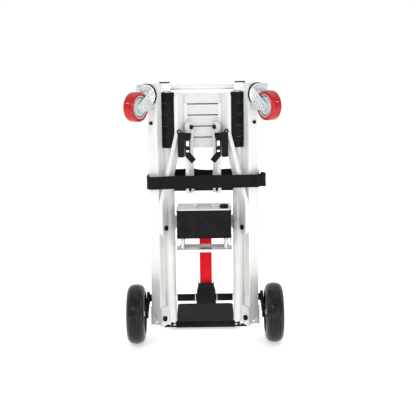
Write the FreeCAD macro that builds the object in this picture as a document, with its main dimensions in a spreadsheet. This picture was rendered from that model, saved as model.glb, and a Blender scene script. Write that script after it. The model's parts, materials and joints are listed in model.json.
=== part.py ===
import FreeCAD, Part
import math
import os
import re

# Stair climbing trolley, stored folded.  X runs across it, Y from the user's side (wheels, battery)
# to the load side (toe plate), Z up.  The origin is on the floor under the middle of its outline.

os.makedirs("parts", exist_ok=True)
doc = FreeCAD.newDocument("stair_climbing_trolley")
sheet = doc.addObject("Spreadsheet::Sheet", "Sizes")

# Driving dimensions in millimetres, angles in degrees.
DIMENSIONS = {
    "side_half_gap": 162.4,
    "side_depth": -91.5,
    "side_width": 38,
    "side_deep": 32,
    "side_wall": 2.5,
    "side_cant": 30,
    "side_bottom": 46,
    "side_top": 883,
    "pole_half_gap": 120,
    "pole_depth": -56,
    "pole_radius": 20,
    "pole_wall": 2.5,
    "pole_bottom": 44,
    "pole_top": 846,
    "rod_radius": 15,
    "rod_low": 190,
    "handle_bar_height": 870,
    "handle_bar_radius": 9,
    "slat_pitch": 37.8,
    "slat_height": 34.8,
    "slat_thick": 14,
    "slat_low": 665,
    "cap_radius": 24,
    "shaft_depth": -52,
    "shaft_height": 127,
    "shaft_radius": 12.5,
    "wheel_half_gap": 235.5,
    "wheel_depth": -146,
    "wheel_radius": 101.5,
    "wheel_width": 61,
    "wheel_bore": 8,
    "arm_thick": 14,
    "arm_width": 36,
    "arm_low": 384,
    "arm_bend_low": 480,
    "arm_bend_high": 716,
    "arm_high": 840,
    "arm_top_half_gap": 80,
    "rail_half_gap": 46,
    "rail_low": 512,
    "rail_high": 757,
    "battery_half_width": 92,
    "battery_front": -162,
    "battery_deep": 82,
    "battery_low": 368,
    "battery_high": 468,
    "belt_width": 42,
    "belt_thick": 4,
    "pulley_radius": 14.5,
    "pulley_high": 394,
    "caster_height": 850,
    "caster_trail": 34,
    "caster_drop": 80,
    "caster_radius": 50,
    "caster_width": 38,
    "toe_near": 0,
    "toe_far": 250,
    "toe_half_width": 106,
    "toe_thick": 5,
    "strap_width": 44,
    "strap_thick": 3,
    "strap_height": 555,
    "bolt_radius": 6,
    "fit_gap": 0.05,
}
for row, (alias, number) in enumerate(DIMENSIONS.items(), start=1):
    sheet.set(f"A{row}", alias)
    sheet.set(f"B{row}", str(number))
    sheet.setAlias(f"B{row}", alias)
doc.recompute()

LEFT = -1
RIGHT = 1
SIDES = {"left": LEFT, "right": RIGHT}
ALONG_X = FreeCAD.Rotation(FreeCAD.Vector(0, 1, 0), 90)
UPRIGHT = FreeCAD.Rotation()
nodes = {}


def size(alias):
    """The number that a cell of the sheet holds."""
    return float(sheet.get(alias))


def vec(x, y, z):
    return FreeCAD.Vector(x, y, z)


def bind(thing, prop, value):
    """Sets a size from words such as 'pole_radius - pole_wall', or from a plain number."""
    if isinstance(value, str):
        thing.setExpression(prop, re.sub(r"[a-z_]+", r"Sizes.\g<0>", value))
    else:
        setattr(thing, prop, value)


def node(name, thing):
    """Names a finished sub-part, which is what gets exported."""
    thing.Label = name
    nodes[name] = thing
    return thing


def box(name, length, width, height, centre, rotation=UPRIGHT):
    """A block with its middle at centre."""
    thing = doc.addObject("Part::Box", name)
    bind(thing, "Length", length)
    bind(thing, "Width", width)
    bind(thing, "Height", height)
    doc.recompute([thing])
    half = vec(thing.Length.Value / 2, thing.Width.Value / 2, thing.Height.Value / 2)
    thing.Placement = FreeCAD.Placement(centre - rotation.multVec(half), rotation)
    return thing


def cylinder(name, radius, height, start, rotation=UPRIGHT):
    """A round bar from start along the rotated Z axis."""
    thing = doc.addObject("Part::Cylinder", name)
    bind(thing, "Radius", radius)
    bind(thing, "Height", height)
    thing.Placement = FreeCAD.Placement(start, rotation)
    return thing


def cut(name, base, tool):
    thing = doc.addObject("Part::Cut", name)
    thing.Base = base
    thing.Tool = tool
    return thing


def fuse(name, pieces):
    thing = doc.addObject("Part::MultiFuse", name)
    thing.Shapes = pieces
    return thing


def group(name, pieces):
    """Separate identical solids kept together in one node."""
    thing = doc.addObject("Part::Compound", name)
    thing.Links = pieces
    return thing


def rounded(name, base, radius, wanted):
    """Fillets the edges of base for which wanted(edge) is true."""
    doc.recompute()
    thing = doc.addObject("Part::Fillet", name)
    thing.Base = base
    chosen = [i for i, edge in enumerate(base.Shape.Edges, start=1) if wanted(edge)]
    thing.Edges = [(i, radius, radius) for i in chosen]
    return thing


def runs_along(edge, direction):
    """Whether a straight edge is parallel to a direction."""
    if len(edge.Vertexes) != 2 or edge.Curve.TypeId != "Part::GeomLine":
        return False
    way = edge.Vertexes[1].Point - edge.Vertexes[0].Point
    return abs(way.normalize().dot(direction)) > 0.999


def own_plane(body, role):
    return next(plane for plane in body.Origin.OriginFeatures if plane.Role == role)


def closed_outline(sketch, points):
    """Straight sides through the points, joined end to end."""
    count = len(points)
    for index in range(count):
        start = points[index]
        end = points[(index + 1) % count]
        sketch.addGeometry(Part.LineSegment(start, end), False)


def padded(name, points, depth, placement=None):
    """A flat outline on the body's own XY plane, padded along its Z axis."""
    body = doc.addObject("PartDesign::Body", name)
    sketch = body.newObject("Sketcher::SketchObject", name + "_outline")
    sketch.AttachmentSupport = [(own_plane(body, "XY_Plane"), "")]
    sketch.MapMode = "FlatFace"
    closed_outline(sketch, [vec(x, y, 0) for x, y in points])
    pad = body.newObject("PartDesign::Pad", name + "_pad")
    pad.Profile = sketch
    bind(pad, "Length", depth)
    if placement:
        body.Placement = placement
    return body


def turned(name, points, placement):
    """A half section (radius, height) turned round the body's own Z axis."""
    body = doc.addObject("PartDesign::Body", name)
    sketch = body.newObject("Sketcher::SketchObject", name + "_section")
    sketch.AttachmentSupport = [(own_plane(body, "XZ_Plane"), "")]
    sketch.MapMode = "FlatFace"
    closed_outline(sketch, [vec(radius, height, 0) for radius, height in points])
    revolution = body.newObject("PartDesign::Revolution", name + "_turn")
    revolution.Profile = sketch
    revolution.ReferenceAxis = (sketch, ["V_Axis"])
    revolution.Angle = 360
    body.Placement = placement
    return body


def canted(side, across, out, height, rotation=UPRIGHT):
    """A placement in a side tube's own frame: across its outer face, out from its middle, and up."""
    turn = FreeCAD.Rotation(vec(0, 0, 1), side * size("side_cant"))
    base = vec(side * size("side_half_gap"), size("side_depth"), 0)
    return FreeCAD.Placement(base, turn).multiply(
        FreeCAD.Placement(vec(across, -out, height), rotation)
    )


# ---------------------------------------------------------------- main frame: poles and backrest


def pole(word, side):
    """A round tube with cross holes for the climbing shaft's bushes."""
    at = vec(side * size("pole_half_gap"), size("pole_depth"), size("pole_bottom"))
    outer = cylinder(f"pole_{word}_outer", "pole_radius", "pole_top - pole_bottom", at)
    inner = cylinder(
        f"pole_{word}_inner", "pole_radius - pole_wall", "pole_top - pole_bottom", at
    )
    tube = cut(f"pole_{word}_tube", outer, inner)
    start = vec(side * size("pole_half_gap") - 30, size("shaft_depth"), size("shaft_height"))
    hole = cylinder(f"pole_{word}_hole", "shaft_radius + 3", 60, start, ALONG_X)
    node(f"pole_{word}", cut(f"pole_{word}", tube, hole))


def slat(number):
    """One backrest board: a shallow channel extrusion with two ribs along its back."""
    low = size("slat_low") + (number - 1) * size("slat_pitch")
    middle = low + size("slat_height") / 2
    front = size("pole_depth") - size("pole_radius") - 1
    length = 2 * (size("pole_half_gap") - size("cap_radius")) - 6.4
    board = box(
        f"slat_{number}_board", length, 3, "slat_height", vec(0, front + 1.5, middle)
    )
    rise = size("slat_height") / 2 - 1.5
    rib_at = [middle - rise, middle, middle + rise]
    ribs = [
        box(f"slat_{number}_rib_{i}", length, "slat_thick - 3", 3, vec(0, front + 8.4, z))
        for i, z in enumerate(rib_at)
    ]
    return fuse(f"slat_{number}", [board] + ribs)


def slat_caps(word, side):
    """The moulded end caps that wrap a pole and hold one end of every slat."""
    pieces = []
    for number in range(5):
        low = size("slat_low") + number * size("slat_pitch") + 0.6
        shift = 2.0 if number == 4 else 0.0
        at = vec(side * (size("pole_half_gap") + shift), size("pole_depth"), low)
        ring = cylinder(f"cap_{word}_{number}_ring", "cap_radius", "slat_height + 1.8", at)
        wing_x = side * (size("pole_half_gap") - 15 + shift)
        wing_at = vec(wing_x, size("pole_depth") - 12.6, low + (size("slat_height") + 1.8) / 2)
        wing = box(f"cap_{word}_{number}_wing", 24, 22.8, "slat_height + 1.8", wing_at)
        solid = fuse(f"cap_{word}_{number}_solid", [ring, wing])
        pole_at = vec(side * size("pole_half_gap"), size("pole_depth"), low - 5)
        bore = cylinder(
            f"cap_{word}_{number}_bore", "pole_radius + fit_gap", "slat_height + 12", pole_at
        )
        pieces.append(cut(f"cap_{word}_{number}", solid, bore))
    return pieces


for word, side in SIDES.items():
    pole(word, side)
seam_strips = []
for number in range(1, 5):
    seam_z = size("slat_low") + number * size("slat_pitch") - 1.5
    seam_at = vec(0, size("pole_depth") - size("pole_radius") + 3.5, seam_z)
    seam_strips.append(box(f"seam_strip_{number}", 185.6, 6, 2.8, seam_at))
end_caps = slat_caps("left", LEFT) + slat_caps("right", RIGHT)
node("slat_caps", group("slat_caps", end_caps + seam_strips))
node("slats", group("slats", [slat(number) for number in range(1, 6)]))

SLAT_FRONT = size("pole_depth") - size("pole_radius") - 1
tie_height = size("slat_low") + 26
tie = box("tie_plate", 150, 3, 44, vec(0, SLAT_FRONT + 18, tie_height))
tie_lip = box("tie_plate_lip", 150, 8, 3, vec(0, SLAT_FRONT + 13, tie_height - 20.5))
node("tie_plate", fuse("tie_plate_whole", [tie, tie_lip]))


def pole_collar(word, side):
    """The guide bush pressed on a pole's upper end, which the handle's rod slides through."""
    top = size("pole_top")
    profile = [
        (size("rod_radius") + 0.06, -30),
        (size("pole_radius") - size("pole_wall") - 0.02, -30),
        (size("pole_radius") - size("pole_wall") - 0.02, 0),
        (size("pole_radius") - 0.2, 0),
        (size("pole_radius") - 0.2, 3.5),
        (size("rod_radius") + 2.5, 7.5),
        (size("rod_radius") + 0.06, 7.5),
    ]
    at = FreeCAD.Placement(vec(side * size("pole_half_gap"), size("pole_depth"), top), UPRIGHT)
    return turned(f"pole_collar_{word}", profile, at)


# ---------------------------------------------------------------- telescopic handle


def handle():
    bar_z = size("handle_bar_height")
    gap = size("pole_half_gap")
    depth = size("pole_depth")
    rods = []
    tees = []
    for word, side in SIDES.items():
        start = vec(side * gap, depth, size("rod_low"))
        rods.append(cylinder(f"handle_rod_{word}", "rod_radius", "handle_bar_height - rod_low", start))
        block = box(f"tee_{word}_block", 44, 40, 25, vec(side * (gap + 8), depth, bar_z + 2.5))
        socket = cylinder(f"tee_{word}_socket", "rod_radius", 30, vec(side * gap, depth, bar_z - 30))
        bar_hole = cylinder(
            f"tee_{word}_bar_hole", "handle_bar_radius", 40, vec(side * gap - 20, depth, bar_z), ALONG_X
        )
        drilled = cut(f"tee_{word}_drilled", cut(f"tee_{word}_cup", block, socket), bar_hole)
        soft = rounded(
            f"handle_tee_{word}",
            drilled,
            3.5,
            lambda edge: runs_along(edge, vec(0, 0, 1)) and edge.Length > 22,
        )
        plug = box(f"tee_plug_{word}", 34, 28, 2.4, vec(side * (gap + 8), depth, bar_z + 16.2))
        tees += [soft, plug]
    node("handle_rods", group("handle_rods", rods))
    node("handle_tees", group("handle_tees", tees))
    start = vec(-gap + 0.1, depth, bar_z)
    bar = cylinder("handle_bar", "handle_bar_radius", "2 * pole_half_gap - 0.2", start, ALONG_X)
    cups = [
        cylinder(f"bar_rod_relief_{word}", "rod_radius", 40, vec(side * gap, depth, bar_z - 40))
        for word, side in SIDES.items()
    ]
    node("handle_bar", cut("handle_bar_trimmed", bar, fuse("bar_reliefs", cups)))


collars = [pole_collar(word, side) for word, side in SIDES.items()]
node("pole_collars", group("pole_collars", collars))
handle()


# ---------------------------------------------------------------- rails, gussets and crossbar


rails = []


def rail(word, side):
    """An inner rail: a flat bar with a rounded top, behind the toggle clamp that grips it."""
    gap = side * size("rail_half_gap")
    turn = FreeCAD.Rotation(vec(0, 0, 1), side * size("side_cant"))
    deep = SLAT_FRONT - 19.8
    low = size("rail_low")
    high = size("rail_high")
    flat = box(
        f"rail_{word}_flat", "arm_thick - 2", "arm_width", "rail_high - rail_low - arm_width / 2",
        vec(gap, deep, (low + high - size("arm_width") / 2) / 2), turn,
    )
    along = turn.multiply(ALONG_X)
    back_off = along.multVec(vec(0, 0, (size("arm_thick") - 2) / 2))
    start = vec(gap, deep, high - size("arm_width") / 2) - back_off
    nose = cylinder(f"rail_{word}_nose", "arm_width / 2", "arm_thick - 2", start, along)
    bar = fuse(f"rail_{word}_bar", [flat, nose])
    hole_start = start - along.multVec(vec(0, 0, 10))
    hole = cylinder(f"rail_{word}_hole", 4.05, 40, hole_start, along)
    rails.append(cut(f"rail_{word}", bar, hole))
    inward = -side
    head_start = start
    if inward > 0:
        head_start = start + along.multVec(vec(0, 0, size("arm_thick") - 2))
    away = along if inward > 0 else along.multiply(FreeCAD.Rotation(vec(1, 0, 0), 180))
    head = cylinder(f"rail_{word}_head", 7.5, 6, head_start, away)
    back = away.multVec(vec(0, 0, -1)) * (size("arm_thick") - 2)
    shank = cylinder(f"rail_{word}_shank", 4, "arm_thick - 2", head_start + back, away)
    return fuse(f"rail_{word}_screw", [head, shank])


def gusset(word, side):
    """The bent plate that carries a rail's top end on the slats."""
    plate = box(f"gusset_{word}_plate", 29, 3, 112, vec(side * 66.5, SLAT_FRONT - 1.5, 762))
    flange = box(f"gusset_{word}_flange", 3, 5, 112, vec(side * 79.5, SLAT_FRONT - 2.5, 762))
    return fuse(f"gusset_{word}", [plate, flange])


def rail_plunger(word, side):
    """The sprung stop on the front of a rail's lower end."""
    at = vec(side * (size("rail_half_gap") - 1), SLAT_FRONT - 43, size("rail_low") + 14)
    coil = cylinder(f"plunger_{word}_coil", 4.5, 24, at)
    tip = cylinder(f"plunger_{word}_tip", 3, 32, at - vec(0, 0, 4))
    return fuse(f"plunger_{word}", [coil, tip])


rail_screws = [rail(word, side) for word, side in SIDES.items()]
plungers = [rail_plunger(word, side) for word, side in SIDES.items()]
node("rails", group("rails", rails))
node("rail_screws", group("rail_screws", rail_screws + plungers))
node("gussets", group("gussets", [gusset(word, side) for word, side in SIDES.items()]))

CROSSBAR_Z = 530
crossbar_length = 2 * (size("pole_half_gap") - size("pole_radius")) - 0.6
crossbar = box("crossbar_bar", crossbar_length, 24, 34, vec(0, size("pole_depth") + 2, CROSSBAR_Z))
crossbar_soft = rounded("crossbar_soft", crossbar, 3, lambda edge: runs_along(edge, vec(1, 0, 0)))
rail_feet = []
for word, side in SIDES.items():
    middle = vec(side * size("rail_half_gap"), SLAT_FRONT + 5.6, CROSSBAR_Z)
    rail_feet.append(box(f"rail_foot_{word}", 18, 12.6, 28, middle))
node("crossbar", fuse("crossbar", [crossbar_soft] + rail_feet))


# ---------------------------------------------------------------- feet, toe plate


FOLD_Y = -58
FOLD_Z = 52


def leg_bracket(word, side):
    """The plate on a side tube's inward face, its web, and the pin that the leg frame folds on."""
    inward = -side * (size("side_width") / 2 + 2.6)
    spot = canted(side, inward, -5, 74)
    plate = box(f"leg_bracket_{word}_plate", 5, 46, 66, spot.Base, spot.Rotation)
    web = box(f"leg_bracket_{word}_web", 5, 27, 20, vec(side * 154.15, -61.7, FOLD_Z))
    pin_low = 141 if side > 0 else -157
    pin = cylinder(f"leg_bracket_{word}_pin", 5, 16, vec(pin_low, FOLD_Y, FOLD_Z), ALONG_X)
    return [plate, fuse(f"leg_hinge_{word}", [web, pin])]


def foot_knob(word, side):
    """The round bolt head on a leg bracket, square to the tube's inward face."""
    spot = canted(side, -side * (size("side_width") / 2 + 5.1), 3, 69, ALONG_X)
    if side > 0:
        spot = spot.multiply(FreeCAD.Placement(vec(0, 0, 0), FreeCAD.Rotation(vec(1, 0, 0), 180)))
    return cylinder(f"foot_knob_{word}", 9, 8, spot.Base, spot.Rotation)


def hinge_lug(word, side):
    """The lug clamped on a pole's foot, which the leg bracket's pin turns in."""
    block = box(f"hinge_lug_{word}_block", 24, 22, 17, vec(side * 139.5, FOLD_Y + 2, FOLD_Z))
    pole_at = vec(side * size("pole_half_gap"), size("pole_depth"), 30)
    bore = cylinder(f"hinge_lug_{word}_pole", "pole_radius + fit_gap", 60, pole_at)
    pin_low = 135 if side > 0 else -160
    eye_at = vec(pin_low, FOLD_Y, FOLD_Z)
    eye = cylinder(f"hinge_lug_{word}_eye", "5 + fit_gap", 25, eye_at, ALONG_X)
    return cut(f"hinge_lug_{word}", cut(f"hinge_lug_{word}_clamp", block, bore), eye)


leg_brackets = leg_bracket("left", LEFT) + leg_bracket("right", RIGHT)
node("leg_brackets", group("leg_brackets", leg_brackets))
node("hinge_lugs", group("hinge_lugs", [hinge_lug(word, side) for word, side in SIDES.items()]))

HINGE_Y = -14
HINGE_Z = 16


def toe_bracket(word, side):
    """The steel cheek that joins a pole's foot to the toe plate's hinge."""
    x_in = side * size("pole_half_gap")
    rear = size("pole_depth") + size("pole_radius")
    points = [(rear, 52), (rear, 92), (rear + 10, 92), (-4, 24), (-4, 7), (-24, 7)]
    rot = FreeCAD.Rotation(vec(1, 1, 1), 120)
    at = FreeCAD.Placement(vec(x_in - 3, 0, 0), rot)
    plate = padded(f"toe_bracket_{word}_plate", points, 6, at)
    start = vec(x_in - 10, HINGE_Y, HINGE_Z)
    hole = cylinder(f"toe_bracket_{word}_hole", "bolt_radius + fit_gap", 20, start, ALONG_X)
    return cut(f"toe_bracket_{word}", plate, hole)


toe_brackets = [toe_bracket(word, side) for word, side in SIDES.items()]
node("toe_brackets", group("toe_brackets", toe_brackets))
span = 2 * (size("pole_half_gap") + 6)
node(
    "toe_pin",
    cylinder("toe_pin", "bolt_radius - fit_gap", span, vec(-span / 2, HINGE_Y, HINGE_Z), ALONG_X),
)

blade_length = size("toe_far") - size("toe_near") + 8
blade_mid = (size("toe_far") + size("toe_near") - 8) / 2
blade = box(
    "toe_blade", "2 * toe_half_width", blade_length, "toe_thick",
    vec(0, blade_mid, size("toe_thick") / 2),
)
soft_blade = rounded(
    "toe_blade_soft", blade, 14,
    lambda edge: runs_along(edge, vec(0, 0, 1)) and edge.CenterOfMass.y > 100,
)
ridge = box("toe_ridge", "2 * toe_half_width", 10, 16, vec(0, -3, 8))
eye = cylinder("toe_eye", 10, "2 * toe_half_width", vec(-size("toe_half_width"), HINGE_Y, HINGE_Z), ALONG_X)
near_edge = box("toe_near_edge", 300, 12, 6.4, vec(0, 4.5, 3.2))
flare_points = [(-114, 0), (114, 0), (114, 12), (106, 20), (-106, 20), (-114, 12)]
flare_at = FreeCAD.Placement(vec(0, 3, 0), FreeCAD.Rotation(vec(1, 0, 0), 90))
flare = padded("toe_flare", flare_points, 6, flare_at)
toe_solid = fuse("toe_solid", [soft_blade, ridge, eye, near_edge, flare])
eye_start = vec(-150, HINGE_Y, HINGE_Z)
eye_hole = cylinder("toe_eye_hole", "bolt_radius", 300, eye_start, ALONG_X)
node("toe_plate", cut("toe_plate", toe_solid, eye_hole))


# ---------------------------------------------------------------- climbing shaft, cranks, wheels

SHAFT_END = 205.5
shaft_start = vec(-SHAFT_END, size("shaft_depth"), size("shaft_height"))
node("climbing_shaft", cylinder("climbing_shaft", "shaft_radius", 2 * SHAFT_END, shaft_start, ALONG_X))

bushes = []
for word, side in SIDES.items():
    length = 2 * size("pole_radius") + 6
    start = vec(side * size("pole_half_gap") - length / 2, size("shaft_depth"), size("shaft_height"))
    sleeve = cylinder(f"bush_{word}_sleeve", "shaft_radius + 3", length, start, ALONG_X)
    bore = cylinder(f"bush_{word}_bore", "shaft_radius + fit_gap", length, start, ALONG_X)
    bushes.append(cut(f"shaft_bush_{word}", sleeve, bore))
node("shaft_bushes", group("shaft_bushes", bushes))


cranks = []
wheel_axles = []
wheel_nuts = []


def crank(word, side):
    """The clamped arm that carries a wheel off the shaft's axis, and its stub axle."""
    inner = 195.2
    thick = 9.4
    shaft_at = vec(0, size("shaft_depth"), size("shaft_height"))
    wheel_at = vec(0, size("wheel_depth"), size("wheel_radius"))
    low = inner if side > 0 else -inner - thick
    pieces = []
    for place, radius in ((shaft_at, 22), (wheel_at, 17)):
        start = vec(low, place.y, place.z)
        pieces.append(cylinder(f"crank_{word}_eye_{radius}", radius, thick, start, ALONG_X))
    reach = wheel_at - shaft_at
    angle = math.degrees(math.atan2(reach.z, reach.y))
    middle = (shaft_at + wheel_at) * 0.5 + vec(low + thick / 2, 0, 0)
    web_turn = FreeCAD.Rotation(vec(1, 0, 0), angle)
    pieces.append(box(f"crank_{word}_web", thick, reach.Length, 26, middle, web_turn))
    arm = fuse(f"crank_{word}_arm", pieces)
    start = vec(low - 1, shaft_at.y, shaft_at.z)
    bore = cylinder(f"crank_{word}_bore", "shaft_radius", thick + 2, start, ALONG_X)
    axle_start = vec(low - 1, wheel_at.y, wheel_at.z)
    axle_bore = cylinder(f"crank_{word}_axle_bore", "wheel_bore - fit_gap", thick + 2, axle_start, ALONG_X)
    cranks.append(cut(f"crank_{word}", cut(f"crank_{word}_half", arm, bore), axle_bore))

    reach_out = size("wheel_half_gap") + size("wheel_width") / 2
    axle_low = inner if side > 0 else -reach_out
    length = reach_out - inner
    start = vec(axle_low, wheel_at.y, wheel_at.z)
    bar = cylinder(f"axle_{word}_bar", "wheel_bore - fit_gap", length, start, ALONG_X)
    wheel_axles.append(bar)
    nut_low = reach_out - 4.6 if side > 0 else -reach_out
    nut_at = vec(nut_low, wheel_at.y, wheel_at.z)
    nut = cylinder(f"wheel_nut_{word}_body", 13, 4.6, nut_at, ALONG_X)
    nut_bore = cylinder(f"wheel_nut_{word}_bore", "wheel_bore - fit_gap", 4.6, nut_at, ALONG_X)
    wheel_nuts.append(cut(f"wheel_nut_{word}", nut, nut_bore))


def road_wheel(word, side):
    """A solid rubber tyre on a moulded rim with a bearing each side."""
    half = size("wheel_width") / 2
    radius = size("wheel_radius")
    rim = radius - 34
    at = FreeCAD.Placement(
        vec(side * size("wheel_half_gap"), size("wheel_depth"), radius), ALONG_X
    )
    tyre_profile = [
        (rim, -half + 4), (rim + 8, -half), (radius - 22, -half), (radius - 8, -half + 6),
        (radius - 2.2, -half + 14), (radius, -5), (radius, 5), (radius - 2.2, half - 14),
        (radius - 8, half - 6), (radius - 22, half), (rim + 8, half), (rim, half - 4),
    ]
    node(f"tyre_{word}", turned(f"tyre_{word}", tyre_profile, at))
    hub = 19
    rim_profile = [
        (14, -half + 6), (hub, -half + 6), (hub + 2, -6), (rim - 10, -6), (rim - 7, -half + 7),
        (rim - 0.05, -half + 5), (rim - 0.05, half - 5), (rim - 7, half - 7), (rim - 10, 6),
        (hub + 2, 6), (hub, half - 6), (14, half - 6),
    ]
    rim_solid = turned(f"wheel_rim_{word}", rim_profile, at)
    bearing_profile = [(8, -half + 5), (14, -half + 5), (14, half - 5), (8, half - 5)]
    bearing = turned(f"wheel_bearing_{word}", bearing_profile, at)
    node(f"wheel_rim_{word}", group(f"wheel_rim_{word}_set", [rim_solid, bearing]))


for word, side in SIDES.items():
    crank(word, side)
    road_wheel(word, side)
node("cranks", group("cranks", cranks))
node("wheel_axles", group("wheel_axles", wheel_axles))


# ---------------------------------------------------------------- belt drive

PULLEY_TOP = size("pulley_high")
DRIVE_X = 4
SHAFT_Y = size("shaft_depth")
SHAFT_Z = size("shaft_height")


def belt_loop(name, radius, width):
    """A solid stadium round both pulleys, radius out from their axes."""
    ends = [
        cylinder(f"{name}_low", radius, width, vec(DRIVE_X - width / 2, SHAFT_Y, SHAFT_Z), ALONG_X),
        cylinder(f"{name}_high", radius, width, vec(DRIVE_X - width / 2, SHAFT_Y, PULLEY_TOP), ALONG_X),
    ]
    middle = vec(DRIVE_X, SHAFT_Y, (SHAFT_Z + PULLEY_TOP) / 2)
    run = box(f"{name}_run", width, 2 * radius, PULLEY_TOP - SHAFT_Z, middle)
    return fuse(name, ends + [run])


belt_inside = size("pulley_radius") + 0.3
outside = belt_loop("belt_outside", belt_inside + size("belt_thick"), size("belt_width"))
inside = belt_loop("belt_inside", belt_inside, size("belt_width") + 2)
node("drive_belt", cut("drive_belt", outside, inside))


def pulley(name, height, bore):
    """A flat drum with a flange each side of the belt."""
    half = size("belt_width") / 2 + 0.6
    flange = size("pulley_radius") + size("belt_thick") + 2.5
    drum = size("pulley_radius")
    profile = [
        (bore, -half - 2.4), (flange, -half - 2.4), (flange, -half), (drum, -half),
        (drum, half), (flange, half), (flange, half + 2.4), (bore, half + 2.4),
    ]
    at = FreeCAD.Placement(vec(DRIVE_X, SHAFT_Y, height), ALONG_X)
    return turned(name, profile, at)


node("shaft_pulley", pulley("shaft_pulley", SHAFT_Z, size("shaft_radius")))
upper_pulley = pulley("upper_pulley", PULLEY_TOP, 5)
motor_shaft = cylinder("motor_shaft", 5, 82, vec(DRIVE_X - 24, SHAFT_Y, PULLEY_TOP), ALONG_X)
node("motor_pulley", fuse("motor_pulley", [upper_pulley, motor_shaft]))
motor_can = cylinder("motor_can", 22, 54, vec(DRIVE_X + 34, SHAFT_Y + 1, PULLEY_TOP), ALONG_X)
motor_boss = cylinder("motor_boss", 14, 6, vec(DRIVE_X + 28.6, SHAFT_Y, PULLEY_TOP), ALONG_X)
motor_foot = box("motor_foot", 50, 12, 36, vec(63, SHAFT_Y + 28, PULLEY_TOP))
motor_bore = cylinder("motor_bore", 5.05, 45, vec(DRIVE_X + 21, SHAFT_Y, PULLEY_TOP), ALONG_X)
motor_solid = fuse("motor_solid", [motor_can, motor_boss, motor_foot])
node("drive_motor", cut("drive_motor", motor_solid, motor_bore))

cover_top = 188
cover_low = 114
cover_front = SHAFT_Y - 32
cover_points = [
    (-26, cover_top), (26, cover_top), (28, cover_top - 3), (28, 172), (31, 166),
    (31, 152), (34, 144), (34, cover_low), (-34, cover_low), (-34, 144), (-31, 152),
    (-31, 166), (-28, 172), (-28, cover_top - 3),
]
cover_turn = FreeCAD.Rotation(vec(1, 0, 0), 90)
cover_at = FreeCAD.Placement(vec(DRIVE_X, cover_front + 60, 0), cover_turn)
cover_shell = padded("cover_shell", [(x, z) for x, z in reversed(cover_points)], 60, cover_at)
cover_room = box("cover_room", 49, 80, 100, vec(DRIVE_X, cover_front + 43, cover_low + 46))
cover_hole = cylinder("cover_hole", "shaft_radius + 0.4", 100, vec(DRIVE_X - 50, SHAFT_Y, SHAFT_Z), ALONG_X)
cover_relief = box("cover_relief", 80, 60, 60, vec(DRIVE_X, cover_front + 54, 182))
cover_open = cut("cover_open", cover_shell, fuse("cover_inside", [cover_room, cover_relief]))
node("belt_cover", cut("belt_cover", cover_open, cover_hole))

washers = []
for word, side in SIDES.items():
    start = vec(DRIVE_X + side * 37.5 - 1.5, SHAFT_Y, SHAFT_Z)
    disc = cylinder(f"washer_{word}_disc", 17, 3, start, ALONG_X)
    bore = cylinder(f"washer_{word}_bore", "shaft_radius", 3, start, ALONG_X)
    washers.append(cut(f"washer_{word}", disc, bore))
node("shaft_hardware", group("shaft_hardware", washers + wheel_nuts))


# ---------------------------------------------------------------- battery, its dock and controls

BATTERY_MID = size("battery_front") + size("battery_deep") / 2
CASE_HIGH = size("battery_high") - 4
case = box(
    "battery_case_block", "2 * battery_half_width", "battery_deep", "battery_high - battery_low - 4",
    vec(0, BATTERY_MID, (CASE_HIGH + size("battery_low")) / 2),
)
case_soft = rounded("battery_case_soft", case, 9, lambda edge: runs_along(edge, vec(0, 0, 1)))
case_hollow = box(
    "battery_hollow", "2 * battery_half_width - 8", "battery_deep - 8",
    "battery_high - battery_low - 10",
    vec(0, BATTERY_MID, (CASE_HIGH + size("battery_low")) / 2 + 4),
)
node("battery_case", cut("battery_case", case_soft, case_hollow))
cell_height = CASE_HIGH - size("battery_low") - 12
cells = []
for column in range(5):
    x_mid = (column - 2) * 34
    block = box(
        f"cell_{column}", 32, "battery_deep - 12", cell_height,
        vec(x_mid, BATTERY_MID, size("battery_low") + 7.5 + cell_height / 2),
    )
    cells.append(block)
node("battery_cells", group("battery_cells", cells))
lid = box(
    "battery_lid_plate", "2 * battery_half_width - 4", "battery_deep + 20", 4,
    vec(0, BATTERY_MID + 12, size("battery_high") - 2),
)
lid_soft = rounded("battery_lid_soft", lid, 7, lambda edge: runs_along(edge, vec(0, 0, 1)))
LID_TOP = size("battery_high")
screw_spots = [(-69, -33), (-62, 12), (80, 30), (-80, 48)]
lid_screws = [
    cylinder(f"lid_screw_{i}", 4.5, 2.5, vec(x, BATTERY_MID + y, LID_TOP))
    for i, (x, y) in enumerate(screw_spots)
]
knob_stem_at = vec(68, BATTERY_MID - 15, LID_TOP + 0.3)
knob = turned(
    "battery_knob",
    [(0, 0), (12.5, 0), (15, 2), (15, 9.5), (13.5, 11), (0, 11)],
    FreeCAD.Placement(knob_stem_at, UPRIGHT),
)
node("battery_knob", knob)

BAIL_Y = BATTERY_MID + 2
BAIL_Z = LID_TOP + 4.6
ears = []
for word, side in SIDES.items():
    ear = box(f"bail_ear_{word}_block", 5, 10, 9, vec(side * 30, BAIL_Y, LID_TOP + 4))
    start = vec(side * 30 - 5, BAIL_Y, BAIL_Z)
    hole = cylinder(f"bail_ear_{word}_hole", 2.55, 10, start, ALONG_X)
    ears.append(cut(f"bail_ear_{word}", ear, hole))
lid_whole = fuse("battery_lid_whole", [lid_soft] + ears)
node("battery_lid", group("battery_lid", [lid_whole] + lid_screws))
bail_bits = []
for word, side in SIDES.items():
    inner = 25.5 if side > 0 else -33.5
    bail_bits.append(cylinder(f"bail_pin_{word}", 2.5, 8, vec(inner, BAIL_Y, BAIL_Z), ALONG_X))
    leg_at = vec(side * 24, BAIL_Y + 13, BAIL_Z)
    bail_bits.append(box(f"bail_leg_{word}", 4, 32, 5, leg_at))
bail_bits.append(box("bail_grip", 52, 8, 5, vec(0, BAIL_Y + 29, BAIL_Z)))
node("battery_bail", fuse("battery_bail", bail_bits))

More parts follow.
